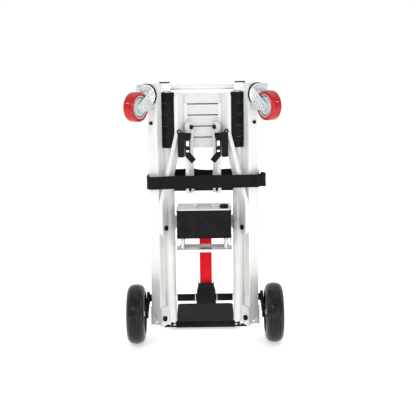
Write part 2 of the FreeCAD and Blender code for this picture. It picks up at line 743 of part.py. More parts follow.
TRAY_TOP = 330
TRAY_DEEP = 54
tray_mid = size("battery_front") + TRAY_DEEP / 2
tray_plate = box("tray_plate", 182, TRAY_DEEP, 3, vec(0, tray_mid, TRAY_TOP - 1.5))
tray_lip = box("tray_lip", 182, 3, 10, vec(0, tray_mid - TRAY_DEEP / 2 + 1.5, TRAY_TOP - 5))
tray_back = box("tray_back", 168, 3, 9, vec(0, tray_mid + TRAY_DEEP / 2 - 1.5, TRAY_TOP + 1.5))
tray = fuse("tray_folded", [tray_plate, tray_lip, tray_back])
posts = []
for word, side in SIDES.items():
    for deep in (-14, 14):
        start = vec(side * 73, tray_mid + deep, TRAY_TOP)
        posts.append(cylinder(f"post_{word}_{deep + 30}", 6, size("battery_low") - TRAY_TOP, start))

# The plate across the poles carries the motor, and two bent stays under it carry the tray.
PLATE_Y = SHAFT_Y + 36
cross_length = 2 * (size("pole_half_gap") - 1)
cross_plate = box("cross_plate_sheet", cross_length, 4, 44, vec(0, PLATE_Y, PULLEY_TOP))
clamps = []
for word, side in SIDES.items():
    x_mid = side * size("pole_half_gap")
    pole_mid = vec(x_mid, size("pole_depth"), PULLEY_TOP - 18)
    ring = cylinder(f"plate_clamp_{word}_ring", "pole_radius + 2", 36, pole_mid)
    pad_at = vec(x_mid, PLATE_Y - 11, PULLEY_TOP)
    pad = box(f"plate_clamp_{word}_pad", 26, 18, 36, pad_at)
    front_half = box(f"plate_clamp_{word}_front", 60, 30, 60, pole_mid - vec(0, 15, 0))
    saddle = cut(f"plate_clamp_{word}_saddle", ring, front_half)
    solid = fuse(f"plate_clamp_{word}_solid", [saddle, pad])
    bore = cylinder(f"plate_clamp_{word}_bore", "pole_radius + fit_gap", 60, pole_mid - vec(0, 0, 10))
    clamps.append(cut(f"plate_clamp_{word}", solid, bore))
node("cross_plate", group("cross_plate", [cross_plate] + clamps))
stays = []
for word, side in SIDES.items():
    drop = box(f"stay_{word}_drop", 3, 142, 10, vec(side * 92.5, PLATE_Y - 73, TRAY_TOP - 6))
    rise = box(f"stay_{word}_rise", 3, 4, 66, vec(side * 92.5, PLATE_Y - 4, TRAY_TOP + 22))
    stays.append(fuse(f"stay_{word}", [drop, rise]))
node("dock_tray", group("dock_tray", [tray] + stays))
node("dock_posts", group("dock_posts", posts))


# ---------------------------------------------------------------- folding leg frame


def side_tube(word, side):
    """A canted box tube, open at its foot, and its top plug."""
    length = "side_top - side_bottom"
    middle = (size("side_top") + size("side_bottom")) / 2
    spot = canted(side, 0, 0, middle)
    outer = box(f"side_{word}_outer", "side_width", "side_deep", length, spot.Base, spot.Rotation)
    inner = box(
        f"side_{word}_inner", "side_width - 2 * side_wall", "side_deep - 2 * side_wall",
        "side_top - side_bottom + 2", spot.Base, spot.Rotation,
    )
    upright = vec(0, 0, 1)
    soft = rounded(f"side_{word}_soft", outer, 2.5, lambda edge: runs_along(edge, upright))
    tube = cut(f"side_{word}_tube", soft, inner)
    slot_at = canted(side, side * 3, size("side_deep") / 2, 66)
    slot = box(f"side_{word}_slot", 17, 12, 26, slot_at.Base, slot_at.Rotation)
    node(f"side_tube_{word}", cut(f"side_tube_{word}", tube, slot))
    plug_at = canted(side, 0, 0, size("side_top") + 1.5)
    return box(f"side_plug_{word}", "side_width - 1", "side_deep - 1", 3, plug_at.Base, plug_at.Rotation)


def leg_foot(word, side):
    """The cast shoe on a side tube's lower end, with its flared outer wing."""
    half = size("side_width") / 2
    wing_at = canted(side, side * (half + 1.6), 3, 76)
    wing = box(f"leg_foot_{word}_wing", 3, 27, 68, wing_at.Base, wing_at.Rotation)
    flare_at = canted(side, side * (half + 3.5), 2, 56)
    tilt = FreeCAD.Rotation(vec(0, 1, 0), -side * 6)
    flare = box(f"leg_foot_{word}_flare", 3, 20, 36, flare_at.Base, flare_at.Rotation.multiply(tilt))
    return fuse(f"leg_foot_{word}", [wing, flare])


def bent_arm(word, side):
    """A flat bar swept up the tube's inward face, bent in over the backrest and up again."""
    half = size("side_width") / 2 + size("arm_thick") / 2 + 0.1
    low_at = canted(side, -side * half, -3.5, 0).Base
    top_x = side * size("arm_top_half_gap")
    points = [
        vec(low_at.x, low_at.y, size("arm_low")),
        vec(low_at.x, low_at.y, size("arm_bend_low")),
        vec(top_x, low_at.y, size("arm_bend_high")),
        vec(top_x, low_at.y, size("arm_high")),
    ]
    radius = 60
    edges = []
    here = points[0]
    for index in (1, 2):
        before = (points[index - 1] - points[index]).normalize()
        after = (points[index + 1] - points[index]).normalize()
        half_turn = (math.pi - before.getAngle(after)) / 2
        back = radius * math.tan(half_turn)
        start = points[index] + before * back
        end = points[index] + after * back
        bisector = (before + after).normalize()
        centre = points[index] + bisector * (radius / math.cos(half_turn))
        middle = centre - bisector * radius
        edges.append(Part.LineSegment(here, start).toShape())
        edges.append(Part.Arc(start, middle, end).toShape())
        here = end
    edges.append(Part.LineSegment(here, points[3]).toShape())
    path = Part.Wire(edges)
    turn = FreeCAD.Rotation(vec(0, 0, 1), side * size("side_cant"))
    thick = turn.multVec(vec(size("arm_thick") / 2, 0, 0))
    wide = turn.multVec(vec(0, size("arm_width") / 2, 0))
    corners = [
        points[0] + thick + wide, points[0] - thick + wide,
        points[0] - thick - wide, points[0] + thick - wide,
    ]
    section = Part.makePolygon(corners + [corners[0]])
    swept = path.makePipeShell([section], True, True)
    arm = doc.addObject("Part::Feature", f"bent_arm_{word}_sweep")
    arm.Shape = swept
    along = turn.multiply(ALONG_X)
    nose_start = points[0] - along.multVec(vec(0, 0, size("arm_thick") / 2))
    nose = cylinder(f"bent_arm_{word}_nose", "arm_width / 2", "arm_thick", nose_start, along)
    top_start = points[3] - along.multVec(vec(0, 0, size("arm_thick") / 2))
    cap = cylinder(f"bent_arm_{word}_cap", "arm_width / 2", "arm_thick", top_start, along)
    node(f"bent_arm_{word}", fuse(f"bent_arm_{word}", [arm, nose, cap]))
    inward = along if side < 0 else along.multiply(FreeCAD.Rotation(vec(1, 0, 0), 180))
    face = points[0] + inward.multVec(vec(0, 0, size("arm_thick") / 2)) + vec(0, 0, 8)
    return cylinder(f"arm_bolt_{word}", 8.5, 6, face, inward)


def side_screw(word, side):
    spot = canted(side, side * 3, size("side_deep") / 2, 754, FreeCAD.Rotation(vec(1, 0, 0), 90))
    return cylinder(f"side_screw_{word}", 6, 4, spot.Base, spot.Rotation)


side_plugs = [side_tube(word, side) for word, side in SIDES.items()]
node("side_plugs", group("side_plugs", side_plugs))
leg_feet = [leg_foot(word, side) for word, side in SIDES.items()]
node("leg_feet", group("leg_feet", leg_feet))
arm_bolts = [bent_arm(word, side) for word, side in SIDES.items()]
side_screws = [side_screw(word, side) for word, side in SIDES.items()]
foot_knobs = [foot_knob(word, side) for word, side in SIDES.items()]
node("leg_bolts", group("leg_bolts", arm_bolts + side_screws + foot_knobs))


CLAMP_PIN_Z = 715


def clamp_body(word, side):
    """A toggle clamp's moulded body with its eyelet, on the front edge of a bent arm."""
    at = vec(side * 72.8, -129, 683)
    shell = box(f"clamp_{word}_shell", 23.4, 14, 84, at)
    soft = rounded(f"clamp_{word}_soft", shell, 6, lambda edge: runs_along(edge, vec(0, 1, 0)))
    start = vec(side * 79, -136, 728)
    turn = FreeCAD.Rotation(vec(1, 0, 0), -90)
    eye = cylinder(f"clamp_{word}_eye", 8, 5, start, turn)
    eye_hole = cylinder(f"clamp_{word}_eye_hole", 3.5, 20, start - vec(0, 5, 0), turn)
    pin_low = 40 if side > 0 else -66
    pin = cylinder(f"clamp_{word}_pin", 3, 26, vec(pin_low, -129, CLAMP_PIN_Z), ALONG_X)
    whole = fuse(f"clamp_{word}_whole", [soft, eye, pin])
    return cut(f"clamp_{word}", whole, eye_hole)


def clamp_lever(word, side):
    """The toggle's lever: an eye on the pin, a frame round a slot, and an angled thumb paddle."""
    x_mid = side * 51.5
    frame = box(f"lever_{word}_frame", 18, 6, 78, vec(x_mid, -129, 682))
    slot = box(f"lever_{word}_slot", 11, 12, 40, vec(x_mid, -129, 677))
    barrel_low = x_mid - 9
    eye = cylinder(f"lever_{word}_eye", 8, 18, vec(barrel_low, -129, CLAMP_PIN_Z), ALONG_X)
    tilt = FreeCAD.Rotation(vec(0, 1, 0), side * 40)
    paddle = box(f"lever_{word}_paddle", 20, 7, 33, vec(side * 42, -129.5, 639), tilt)
    knob_at = vec(x_mid, -136, 671)
    turn = FreeCAD.Rotation(vec(1, 0, 0), -90)
    knob = cylinder(f"lever_{word}_knob", 6.5, 7, knob_at, turn)
    bore = cylinder(f"lever_{word}_bore", "3 + fit_gap", 40, vec(x_mid - 20, -129, CLAMP_PIN_Z), ALONG_X)
    solid = fuse(f"lever_{word}_solid", [frame, eye, paddle])
    slotted = cut(f"lever_{word}_slotted", solid, slot)
    whole = fuse(f"lever_{word}_whole", [slotted, knob])
    node(f"clamp_lever_{word}", cut(f"clamp_lever_{word}", whole, bore))


clamp_bodies = [clamp_body(word, side) for word, side in SIDES.items()]
node("clamp_bodies", group("clamp_bodies", clamp_bodies))
for word, side in SIDES.items():
    clamp_lever(word, side)


# ---------------------------------------------------------------- webbing strap

STRAP_OUT = 190
STRAP_FRONT = -127
STRAP_SPLIT = -66
STRAP_REAR = -30


def strap_run(name, wall, far, middle_z):
    """A U of webbing: a run across at the y of wall, and a side each end reaching to far."""
    thick = size("strap_thick")
    run = box(f"{name}_run", 2 * STRAP_OUT, thick, "strap_width", vec(0, wall, middle_z))
    sides = []
    for word, side in SIDES.items():
        length = abs(far - wall)
        middle = vec(side * (STRAP_OUT - thick / 2), (far + wall) / 2, middle_z)
        sides.append(box(f"{name}_{word}", thick, length, "strap_width", middle))
    return fuse(name + "_whole", [run] + sides)


strap_tail = box("strap_tail", 22, 26, 47, vec(STRAP_OUT + 11.2, -106, size("strap_height") + 3))
tail_soft = rounded("strap_tail_soft", strap_tail, 6, lambda edge: runs_along(edge, vec(0, 0, 1)))
front_whole = strap_run("strap_front", STRAP_FRONT, STRAP_SPLIT, size("strap_height"))
node("strap_front", group("strap_front", [front_whole, tail_soft]))
node("strap_rear", strap_run("strap_rear", STRAP_REAR, STRAP_SPLIT + 2, size("strap_height") + 7))


# ---------------------------------------------------------------- casters


CASTER_SHIFT = 9


def caster_spot(side, out, height, rotation=UPRIGHT):
    """A placement out from the side tube's outer face, on or near the caster's swivel axis."""
    return canted(side, side * CASTER_SHIFT, size("side_deep") / 2 + out, height, rotation)


caster_plates = []
caster_seals = []


def caster(word, side):
    """A swivel caster bolted flat on the tube: plate, raceway, fork, and wheel with its axle."""
    height = size("caster_height")
    shift = side * CASTER_SHIFT
    outward = FreeCAD.Rotation(vec(1, 0, 0), 90)
    spot = caster_spot(side, 1.6, height)
    sheet_mid = canted(side, shift + side * 14, size("side_deep") / 2 + 1.6, height)
    sheet_box = box(f"caster_{word}_sheet_box", 72, 3, 66, sheet_mid.Base, sheet_mid.Rotation)
    face_normal = spot.Rotation.multVec(vec(0, 1, 0))
    plate = rounded(f"caster_{word}_sheet", sheet_box, 9, lambda edge: runs_along(edge, face_normal))
    ring_at = caster_spot(side, 3.1, height, outward)
    ring = cylinder(f"caster_{word}_cup", 22, 7, ring_at.Base, ring_at.Rotation)
    pin = cylinder(f"caster_{word}_pin", 5, 14, ring_at.Base, ring_at.Rotation)
    caster_plates.append(fuse(f"caster_plate_{word}", [plate, ring, pin]))
    for across in (side * 43, side * -15):
        for up in (-26.5, 26.5):
            head_at = canted(side, across + shift, size("side_deep") / 2 + 3.1, height + up, outward)
            caster_plates.append(cylinder("caster_bolt", 5, 4, head_at.Base, head_at.Rotation))

    seal_at = caster_spot(side, 10.2, height, outward)
    seal = cylinder(f"caster_{word}_seal_disc", 38, 3.3, seal_at.Base, seal_at.Rotation)
    seal_bore = cylinder(f"caster_{word}_seal_bore", 20, 6, seal_at.Base, seal_at.Rotation)
    caster_seals.append(cut(f"caster_seal_{word}", seal, seal_bore))

    crown_at = caster_spot(side, 13.6, height, outward)
    crown = cylinder(f"caster_{word}_crown", 33, 4, crown_at.Base, crown_at.Rotation)
    hole = cylinder(f"caster_{word}_crown_hole", 5.05, 6, crown_at.Base, crown_at.Rotation)
    shoulder_at = caster_spot(side, 15.6, height - 14)
    shoulder = box(f"caster_{word}_shoulder", 50, 4, 66, shoulder_at.Base, shoulder_at.Rotation)
    axle_out = size("caster_drop")
    axle_z = height - size("caster_trail")
    turn = FreeCAD.Rotation(vec(0, 0, 1), side * size("side_cant"))
    leg_points = [
        (13.6, 19), (13.6, -40), (8.6, -42), (8.6, -50), (axle_out + 6, -50), (axle_out + 14, -43),
        (axle_out + 13, -25), (axle_out + 4, -17), (46, 5), (22, 19),
    ]
    legs = []
    # A leg's outline has X out from the tube and Y up, and is padded across, along its -Z.
    upright = FreeCAD.Rotation(vec(0, -1, 0), vec(0, 0, 1), vec(-1, 0, 0), "ZXY")
    for across in (-22, 25):
        base = canted(side, across + shift, size("side_deep") / 2, height)
        leg_at = FreeCAD.Placement(base.Base, turn.multiply(upright))
        legs.append(padded(f"caster_{word}_leg_{across + 30}", leg_points, 3, leg_at))
    fork = fuse(f"caster_{word}_fork_whole", [crown, shoulder] + legs)
    axle_spot = canted(side, shift - 40, size("side_deep") / 2 + axle_out, axle_z, ALONG_X)
    drill = cylinder(f"caster_{word}_drill", 5, 80, axle_spot.Base, axle_spot.Rotation)
    drilled = cut(f"caster_{word}_fork_drilled", fork, drill)
    fork_solid = cut(f"caster_fork_{word}", drilled, hole)

    bolt_spot = canted(side, shift - 28, size("side_deep") / 2 + axle_out, axle_z, ALONG_X)
    shank = cylinder(f"caster_{word}_shank", 4.95, 57, bolt_spot.Base, bolt_spot.Rotation)
    heads = []
    for across, length in ((-33.2, 5.2), (28, 5.2)):
        spot = canted(side, across + shift, size("side_deep") / 2 + axle_out, axle_z, ALONG_X)
        prism = doc.addObject("Part::Prism", f"caster_{word}_hex_{int(across) + 40}")
        prism.Polygon = 6
        prism.Circumradius = 9
        prism.Height = length
        prism.Placement = spot
        heads.append(prism)
    axle = fuse(f"caster_axle_{word}", [shank] + heads)
    node(f"caster_fork_{word}", group(f"caster_fork_{word}_set", [fork_solid, axle]))

    half = size("caster_width") / 2
    radius = size("caster_radius")
    spot = canted(side, shift, size("side_deep") / 2 + axle_out, axle_z, ALONG_X)
    tread_profile = [
        (38, -half), (radius - 4, -half), (radius - 1, -half + 3), (radius, -half + 8),
        (radius, half - 8), (radius - 1, half - 3), (radius - 4, half), (38, half),
    ]
    node(f"caster_tread_{word}", turned(f"caster_tread_{word}", tread_profile, spot))
    core_profile = [
        (5, -half - 2.6), (9, -half - 2.6), (9, -half + 1), (27, -half + 1), (29, -half + 4),
        (33, -half + 4), (34, -half + 0.5), (38, -half + 0.5), (38, half - 0.5),
        (34, half - 0.5), (33, half - 4), (29, half - 4), (27, half - 1), (9, half - 1),
        (9, half + 2.6), (5, half + 2.6),
    ]
    node(f"caster_core_{word}", turned(f"caster_core_{word}", core_profile, spot))


for word, side in SIDES.items():
    caster(word, side)
node("caster_plates", group("caster_plates", caster_plates))
node("caster_seals", group("caster_seals", caster_seals))


# ---------------------------------------------------------------- finish


def check_and_export():
    doc.recompute()
    failed = [o.Label for o in doc.Objects if "Invalid" in o.State or "Error" in o.State]
    if failed:
        raise RuntimeError(f"failed objects: {failed}")
    for name, thing in nodes.items():
        shape = thing.Shape
        if shape.isNull() or not shape.isValid() or not shape.Solids:
            raise RuntimeError(f"bad shape: {name}")
        shape.exportStep(f"parts/{name}.step")
        limits = shape.BoundBox
        print(
            f"{name:22s} {len(shape.Solids)} solids {shape.Volume / 1000:9.1f} cm3 "
            f"x {limits.XMin:7.1f}..{limits.XMax:7.1f} y {limits.YMin:7.1f}..{limits.YMax:7.1f} "
            f"z {limits.ZMin:7.1f}..{limits.ZMax:7.1f}"
        )


check_and_export()
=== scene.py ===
"""The looks of the folded stair climbing trolley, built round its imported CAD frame."""

import json
import math

import bmesh
import bpy
from mathutils import Matrix, Vector


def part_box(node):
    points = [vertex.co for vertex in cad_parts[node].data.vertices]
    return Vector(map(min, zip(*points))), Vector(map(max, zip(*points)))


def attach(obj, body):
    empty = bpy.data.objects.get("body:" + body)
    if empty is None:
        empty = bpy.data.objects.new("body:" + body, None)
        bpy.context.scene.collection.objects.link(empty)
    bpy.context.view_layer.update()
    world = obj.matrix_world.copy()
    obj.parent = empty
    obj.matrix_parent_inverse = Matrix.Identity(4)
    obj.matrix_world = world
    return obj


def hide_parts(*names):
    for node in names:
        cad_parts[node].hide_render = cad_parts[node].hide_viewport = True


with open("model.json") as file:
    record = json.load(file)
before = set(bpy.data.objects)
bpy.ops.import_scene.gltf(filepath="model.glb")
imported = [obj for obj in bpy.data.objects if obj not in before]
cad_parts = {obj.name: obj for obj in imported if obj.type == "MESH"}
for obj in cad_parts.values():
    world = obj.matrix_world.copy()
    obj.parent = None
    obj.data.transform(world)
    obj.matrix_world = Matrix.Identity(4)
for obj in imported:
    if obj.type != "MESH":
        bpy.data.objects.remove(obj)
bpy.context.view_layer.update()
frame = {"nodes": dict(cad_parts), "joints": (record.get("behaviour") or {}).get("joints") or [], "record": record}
joints = {joint["name"]: joint for joint in frame["joints"]}
slot_of = {part["node"]: part["material_slot"] for part in frame["record"]["subparts"]}
SIDES = {"left": -1, "right": 1}
MM = 0.001
X, Y, Z = Vector((1, 0, 0)), Vector((0, 1, 0)), Vector((0, 0, 1))
# Greys of the surroundings from in front of the object (0) to behind it (1).
COVE = ((0.0, 0.50), (0.45, 0.58), (0.62, 1.0), (1.0, 1.0))


# ---------------------------------------------------------------- camera and light

scene = bpy.context.scene
scene.view_settings.view_transform = "Standard"
CAMERA_PLACE = (0.005, -3.09, 1.108)
PITCH_DOWN, YAW, ROLL = math.radians(9.57), math.radians(0.21), math.radians(0.74)


def make_camera():
    """A long lens in front of the drive side, a little above the trolley's top."""
    data = bpy.data.cameras.new("camera")
    data.lens = 77.3
    data.sensor_width = 36
    data.shift_y = -0.10
    data.clip_end = 50
    camera = bpy.data.objects.new("camera", data)
    scene.collection.objects.link(camera)
    level = math.cos(PITCH_DOWN)
    aim = Vector((math.sin(YAW) * level, math.cos(YAW) * level, -math.sin(PITCH_DOWN)))
    turn = aim.to_track_quat("-Z", "Y").to_matrix() @ Matrix.Rotation(-ROLL, 3, "Z")
    camera.matrix_world = Matrix.Translation(CAMERA_PLACE) @ turn.to_4x4()
    scene.camera = camera


def area_light(name, place, aim, width, height, power):
    """A rectangular light of the given size in metres and power in watts."""
    data = bpy.data.lights.new(name, "AREA")
    data.shape = "RECTANGLE"
    data.size = width
    data.size_y = height
    data.energy = power
    light = bpy.data.objects.new(name, data)
    light.location = place
    light.rotation_euler = (Vector(aim) - Vector(place)).to_track_quat("-Z", "Y").to_euler()
    scene.collection.objects.link(light)


def make_surroundings():
    """A pale cove: bright behind the object, softer in front, and white where the camera sees it."""
    world = bpy.data.worlds.new("studio")
    scene.world = world
    world.use_nodes = True
    tree = world.node_tree
    backdrop = tree.nodes["Background"]
    backdrop.inputs["Strength"].default_value = 1.0
    place = tree.nodes.new("ShaderNodeTexCoord")
    split = tree.nodes.new("ShaderNodeSeparateXYZ")
    shift = tree.nodes.new("ShaderNodeMapRange")
    fade = tree.nodes.new("ShaderNodeValToRGB")
    ray = tree.nodes.new("ShaderNodeLightPath")
    pick = tree.nodes.new("ShaderNodeMix")
    pick.data_type = "RGBA"
    shift.inputs["From Min"].default_value = -1
    elements = fade.color_ramp.elements
    for index, (at, grey) in enumerate(COVE):
        element = elements[index] if index < 2 else elements.new(at)
        element.position = at
        element.color = (grey, grey, grey, 1)
    tree.links.new(place.outputs["Generated"], split.inputs["Vector"])
    tree.links.new(split.outputs["Y"], shift.inputs["Value"])
    tree.links.new(shift.outputs["Result"], fade.inputs["Fac"])
    lit, seen = colour_sockets(pick.inputs)
    seen.default_value = (1.02, 1.02, 1.02, 1)
    tree.links.new(fade.outputs["Color"], lit)
    tree.links.new(ray.outputs["Is Camera Ray"], pick.inputs["Factor"])
    tree.links.new(colour_sockets(pick.outputs)[0], backdrop.inputs["Color"])


def make_lights():
    """Broad soft lights, and a small pair at the sides that glints on the caster treads."""
    chest = (0, 0, 0.45)
    area_light("key", (-1.0, -2.3, 1.9), chest, 0.5, 0.5, 13)
    area_light("top", (0.3, 0.2, 2.9), (0, 0, 0.3), 2.4, 2.0, 12)
    area_light("fill", (1.5, -2.6, 1.2), chest, 0.7, 0.9, 11)
    area_light("low", (0.1, -2.7, 0.40), (0, 0, 0.22), 1.6, 0.3, 6)
    for side in (-1, 1):
        area_light("side_low", (side * 0.95, -1.0, 0.05), (side * 0.18, -0.05, 0.12), 0.3, 0.1, 0.5)
        area_light("spark", (side * 1.73, -0.78, 1.58), (side * 0.22, -0.17, 0.82), 0.12, 0.16, 1.3)


def make_floor():
    """A large pale floor just under the wheels, lit a little from within so that it stays white."""
    mesh = bpy.data.meshes.new("floor")
    mesh.from_pydata([(-9, -7, 0), (9, -7, 0), (9, 11, 0), (-9, 11, 0)], [], [(0, 1, 2, 3)])
    floor = bpy.data.objects.new("floor", mesh)
    scene.collection.objects.link(floor)
    floor.location.z = -0.0005
    glow = {"Emission_Color": (1, 1, 1, 1), "Emission_Strength": 0.45}
    shade = Shade("floor_white", (0.95, 0.95, 0.95), 0.6, **glow)
    grain = shade.noise(6.0, 3)
    shade.colour(shade.ramp(grain, (0.3, 0.94, 0.94, 0.94), (0.7, 0.96, 0.96, 0.96)))
    floor.data.materials.append(shade.material)


# ---------------------------------------------------------------- materials


def colour_sockets(sockets):
    """The colour inputs or outputs of a Mix node, which has one set for each kind of value."""
    return [socket for socket in sockets if socket.type == "RGBA"]


class Shade:
    """A procedural material under construction: constants sit on the shader, patterns are linked."""

    def __init__(self, name, colour, roughness, metallic=0.0, **constants):
        self.material = bpy.data.materials.new(name)
        self.material.use_nodes = True
        self.tree = self.material.node_tree
        self.shader = self.tree.nodes["Principled BSDF"]
        self.shader.inputs["Base Color"].default_value = (*colour, 1)
        self.shader.inputs["Roughness"].default_value = roughness
        self.shader.inputs["Metallic"].default_value = metallic
        for socket, value in constants.items():
            self.shader.inputs[socket.replace("_", " ")].default_value = value
        self.bump_from = None
        place = self.add("ShaderNodeTexCoord")
        self.place = place.outputs["Object"]

    def add(self, kind):
        return self.tree.nodes.new(kind)

    def link(self, a, b):
        self.tree.links.new(a, b)

    def stretched(self, scale):
        """Object coordinates drawn out along the axes with the small scales."""
        node = self.add("ShaderNodeMapping")
        node.inputs["Scale"].default_value = scale
        self.link(self.place, node.inputs["Vector"])
        return node.outputs["Vector"]

    def noise(self, scale, detail=4, where=None, rough=0.55):
        node = self.add("ShaderNodeTexNoise")
        node.inputs["Scale"].default_value = scale
        node.inputs["Detail"].default_value = detail
        node.inputs["Roughness"].default_value = rough
        self.link(where or self.place, node.inputs["Vector"])
        return node.outputs["Fac"]

    def cells(self, scale):
        node = self.add("ShaderNodeTexVoronoi")
        node.inputs["Scale"].default_value = scale
        self.link(self.place, node.inputs["Vector"])
        return node.outputs["Color"]

    def waves(self, scale, axis):
        node = self.add("ShaderNodeTexWave")
        node.bands_direction = axis
        node.inputs["Scale"].default_value = scale
        self.link(self.place, node.inputs["Vector"])
        return node.outputs["Fac"]

    def ramp(self, value, *stops):
        """A blend between two stops, each a position and a colour."""
        node = self.add("ShaderNodeValToRGB")
        for element, (at, *colour) in zip(node.color_ramp.elements, stops):
            element.position = at
            element.color = (*colour, 1)
        self.link(value, node.inputs["Fac"])
        return node.outputs["Color"]

    def mix(self, share, a, b, mode="MIX"):
        """Pattern a mixed with pattern b by a fixed share."""
        node = self.add("ShaderNodeMix")
        node.data_type = "RGBA"
        node.blend_type = mode
        node.inputs["Factor"].default_value = share
        for pattern, socket in zip((a, b), colour_sockets(node.inputs)):
            self.link(pattern, socket)
        return colour_sockets(node.outputs)[0]

    def colour(self, value):
        self.link(value, self.shader.inputs["Base Color"])

    def rough(self, value, low, high):
        """Roughness from low to high as the pattern goes from 0 to 1."""
        node = self.add("ShaderNodeMapRange")
        node.inputs["To Min"].default_value = low
        node.inputs["To Max"].default_value = high
        self.link(value, node.inputs["Value"])
        self.link(node.outputs["Result"], self.shader.inputs["Roughness"])

    def bump(self, value, strength, distance=0.001):
        """A bump on top of the ones already made."""
        node = self.add("ShaderNodeBump")
        node.inputs["Strength"].default_value = strength
        node.inputs["Distance"].default_value = distance
        self.link(value, node.inputs["Height"])
        if self.bump_from is not None:
            self.link(self.bump_from, node.inputs["Normal"])
        self.bump_from = node.outputs["Normal"]
        self.link(self.bump_from, self.shader.inputs["Normal"])


def brushed(name, colour, roughness, metallic, grain, streak=(260, 260, 5)):
    """Satin metal with streaks drawn along one axis and faint clouding."""
    shade = Shade(name, colour, roughness, metallic)
    lines = shade.noise(1.0, 5, shade.stretched(streak), 0.7)
    cloud = shade.noise(7.0, 3)
    dark = tuple(c * 0.86 for c in colour)
    tone = shade.ramp(lines, (0.3, *dark), (0.7, *colour))
    shade.colour(shade.mix(0.35, tone, shade.ramp(cloud, (0.35, *dark), (0.65, *colour)), "MULTIPLY"))
    shade.rough(lines, roughness - 0.06, roughness + 0.10)
    shade.bump(lines, grain, 0.0002)
    return shade.material


def moulded(name, colour, roughness, grain=0.25, scale=900.0, **constants):
    """Moulded or powder-coated plastic or steel: a fine pebble, uneven gloss and paler clouds."""
    shade = Shade(name, colour, roughness, 0.0, **constants)
    pebble = shade.noise(scale, 3)
    cloud = shade.noise(18.0, 4)
    worn = tuple(min(1.0, c * 1.9 + 0.006) for c in colour)
    shade.colour(shade.ramp(cloud, (0.35, *colour), (0.75, *worn)))
    shade.rough(cloud, roughness - 0.07, roughness + 0.10)
    shade.bump(pebble, grain, 0.0002)
    return shade.material


def spangled(name, colour, roughness, metallic, scale=170.0, strength=0.5):
    """Zinc or cast surface whose crystals catch the light differently."""
    shade = Shade(name, colour, roughness, metallic)
    crystals = shade.cells(scale)
    dark = tuple(c * (1 - strength) for c in colour)
    tone = shade.ramp(crystals, (0.15, *dark), (0.85, *colour))
    cloud = shade.noise(30.0, 4)
    shade.colour(shade.mix(0.6, tone, shade.ramp(cloud, (0.3, *dark), (0.6, *colour))))
    shade.rough(crystals, roughness - 0.08, roughness + 0.16)
    shade.bump(shade.noise(600.0, 3), 0.15, 0.0002)
    return shade.material


def webbing(name):
    """Woven polyester: a basket weave across and along the strap, with a dull sheen."""
    cloth = {"Sheen_Weight": 0.04, "Sheen_Roughness": 0.5, "Specular_IOR_Level": 0.15}
    shade = Shade(name, (0.010, 0.010, 0.011), 0.82, **cloth)
    across = shade.waves(330.0, "Z")
    along = shade.waves(330.0, "X")
    weave = shade.mix(1.0, across, along, "MULTIPLY")
    fuzz = shade.noise(1400.0, 3)
    tone = shade.mix(0.4, weave, fuzz)
    shade.colour(shade.ramp(tone, (0.1, 0.003, 0.003, 0.004), (0.9, 0.016, 0.016, 0.017)))
    shade.rough(tone, 0.72, 0.95)
    shade.bump(weave, 0.5, 0.0006)
    shade.bump(fuzz, 0.2, 0.0003)
    return shade.material


def rubber(name, colour, roughness, scale=700.0, **constants):
    """A smooth cast surface with a fine grain and softly uneven colour and gloss."""
    shade = Shade(name, colour, roughness, 0.0, **constants)
    cloud = shade.noise(22.0, 5)
    fine = shade.noise(scale, 4)
    pale = tuple(min(1.0, c * 1.25 + 0.008) for c in colour)
    shade.colour(shade.ramp(cloud, (0.3, *tuple(c * 0.85 for c in colour)), (0.7, *pale)))
    shade.rough(cloud, roughness - 0.06, roughness + 0.12)
    shade.bump(fine, 0.12, 0.0002)
    return shade.material


DULL = {"Specular_IOR_Level": 0.09}
COATED = {"Specular_IOR_Level": 0.06}
# The material of each slot in the record.
MATERIALS = {
    "anodised_tube": brushed("satin_tube", (0.90, 0.905, 0.89), 0.42, 0.15, 0.20),
    "white_slat": brushed("white_slat", (0.79, 0.795, 0.79), 0.40, 0.15, 0.18, (5, 260, 260)),
    "black_plastic": moulded("black_plastic", (0.0034, 0.0036, 0.0042), 0.34, **DULL),
    "black_steel": moulded("black_coat", (0.0060, 0.0060, 0.0066), 0.62, 0.35, 700.0, **COATED),
    "zinc_steel": spangled("bright_zinc", (0.86, 0.93, 0.95), 0.30, 0.55, 140.0, 0.22),
    "bright_steel": brushed("bright_steel", (0.78, 0.78, 0.79), 0.22, 0.85, 0.12, (8, 300, 300)),
    "grey_plate": brushed("grey_plate", (0.86, 0.86, 0.86), 0.38, 0.25, 0.15, (9, 240, 240)),
    "cast_alloy": spangled("cast_alloy", (0.90, 0.90, 0.88), 0.42, 0.30, 330.0, 0.16),
    "tyre_rubber": rubber("tyre_rubber", (0.0042, 0.0042, 0.0046), 0.21, Specular_IOR_Level=0.36),
    "grey_rim": moulded("grey_rim", (0.022, 0.023, 0.025), 0.42, 0.2),
    "red_tread": rubber("red_tread", (0.41, 0.0003, 0.002), 0.09, 500.0, Specular_IOR_Level=0.45),
    "light_core": brushed("light_core", (0.74, 0.78, 0.78), 0.38, 0.25, 0.2, (120, 120, 120)),
    "red_belt": rubber("red_belt", (0.62, 0.0003, 0.010), 0.55, 900.0, Specular_IOR_Level=0.12),
    "black_webbing": webbing("black_webbing"),
    "battery_cell": moulded("cell_wrap", (0.05, 0.12, 0.35), 0.3),
    "clear_guide": moulded("pale_nylon", (0.74, 0.75, 0.73), 0.38, 0.1),
}


# ---------------------------------------------------------------- carried-over CAD nodes

# Bevel widths in metres, for the nodes whose edges are rounder than half a millimetre.
SOFT_EDGE = {
    "slat_caps": 0.0022, "side_tube_left": 0.0016, "side_tube_right": 0.0016,
    "bent_arm_left": 0.0012, "bent_arm_right": 0.0012, "belt_cover": 0.0005, "battery_case": 0.0016,
    "handle_tees": 0.0010, "toe_plate": 0.0008, "clamp_bodies": 0.0014,
}


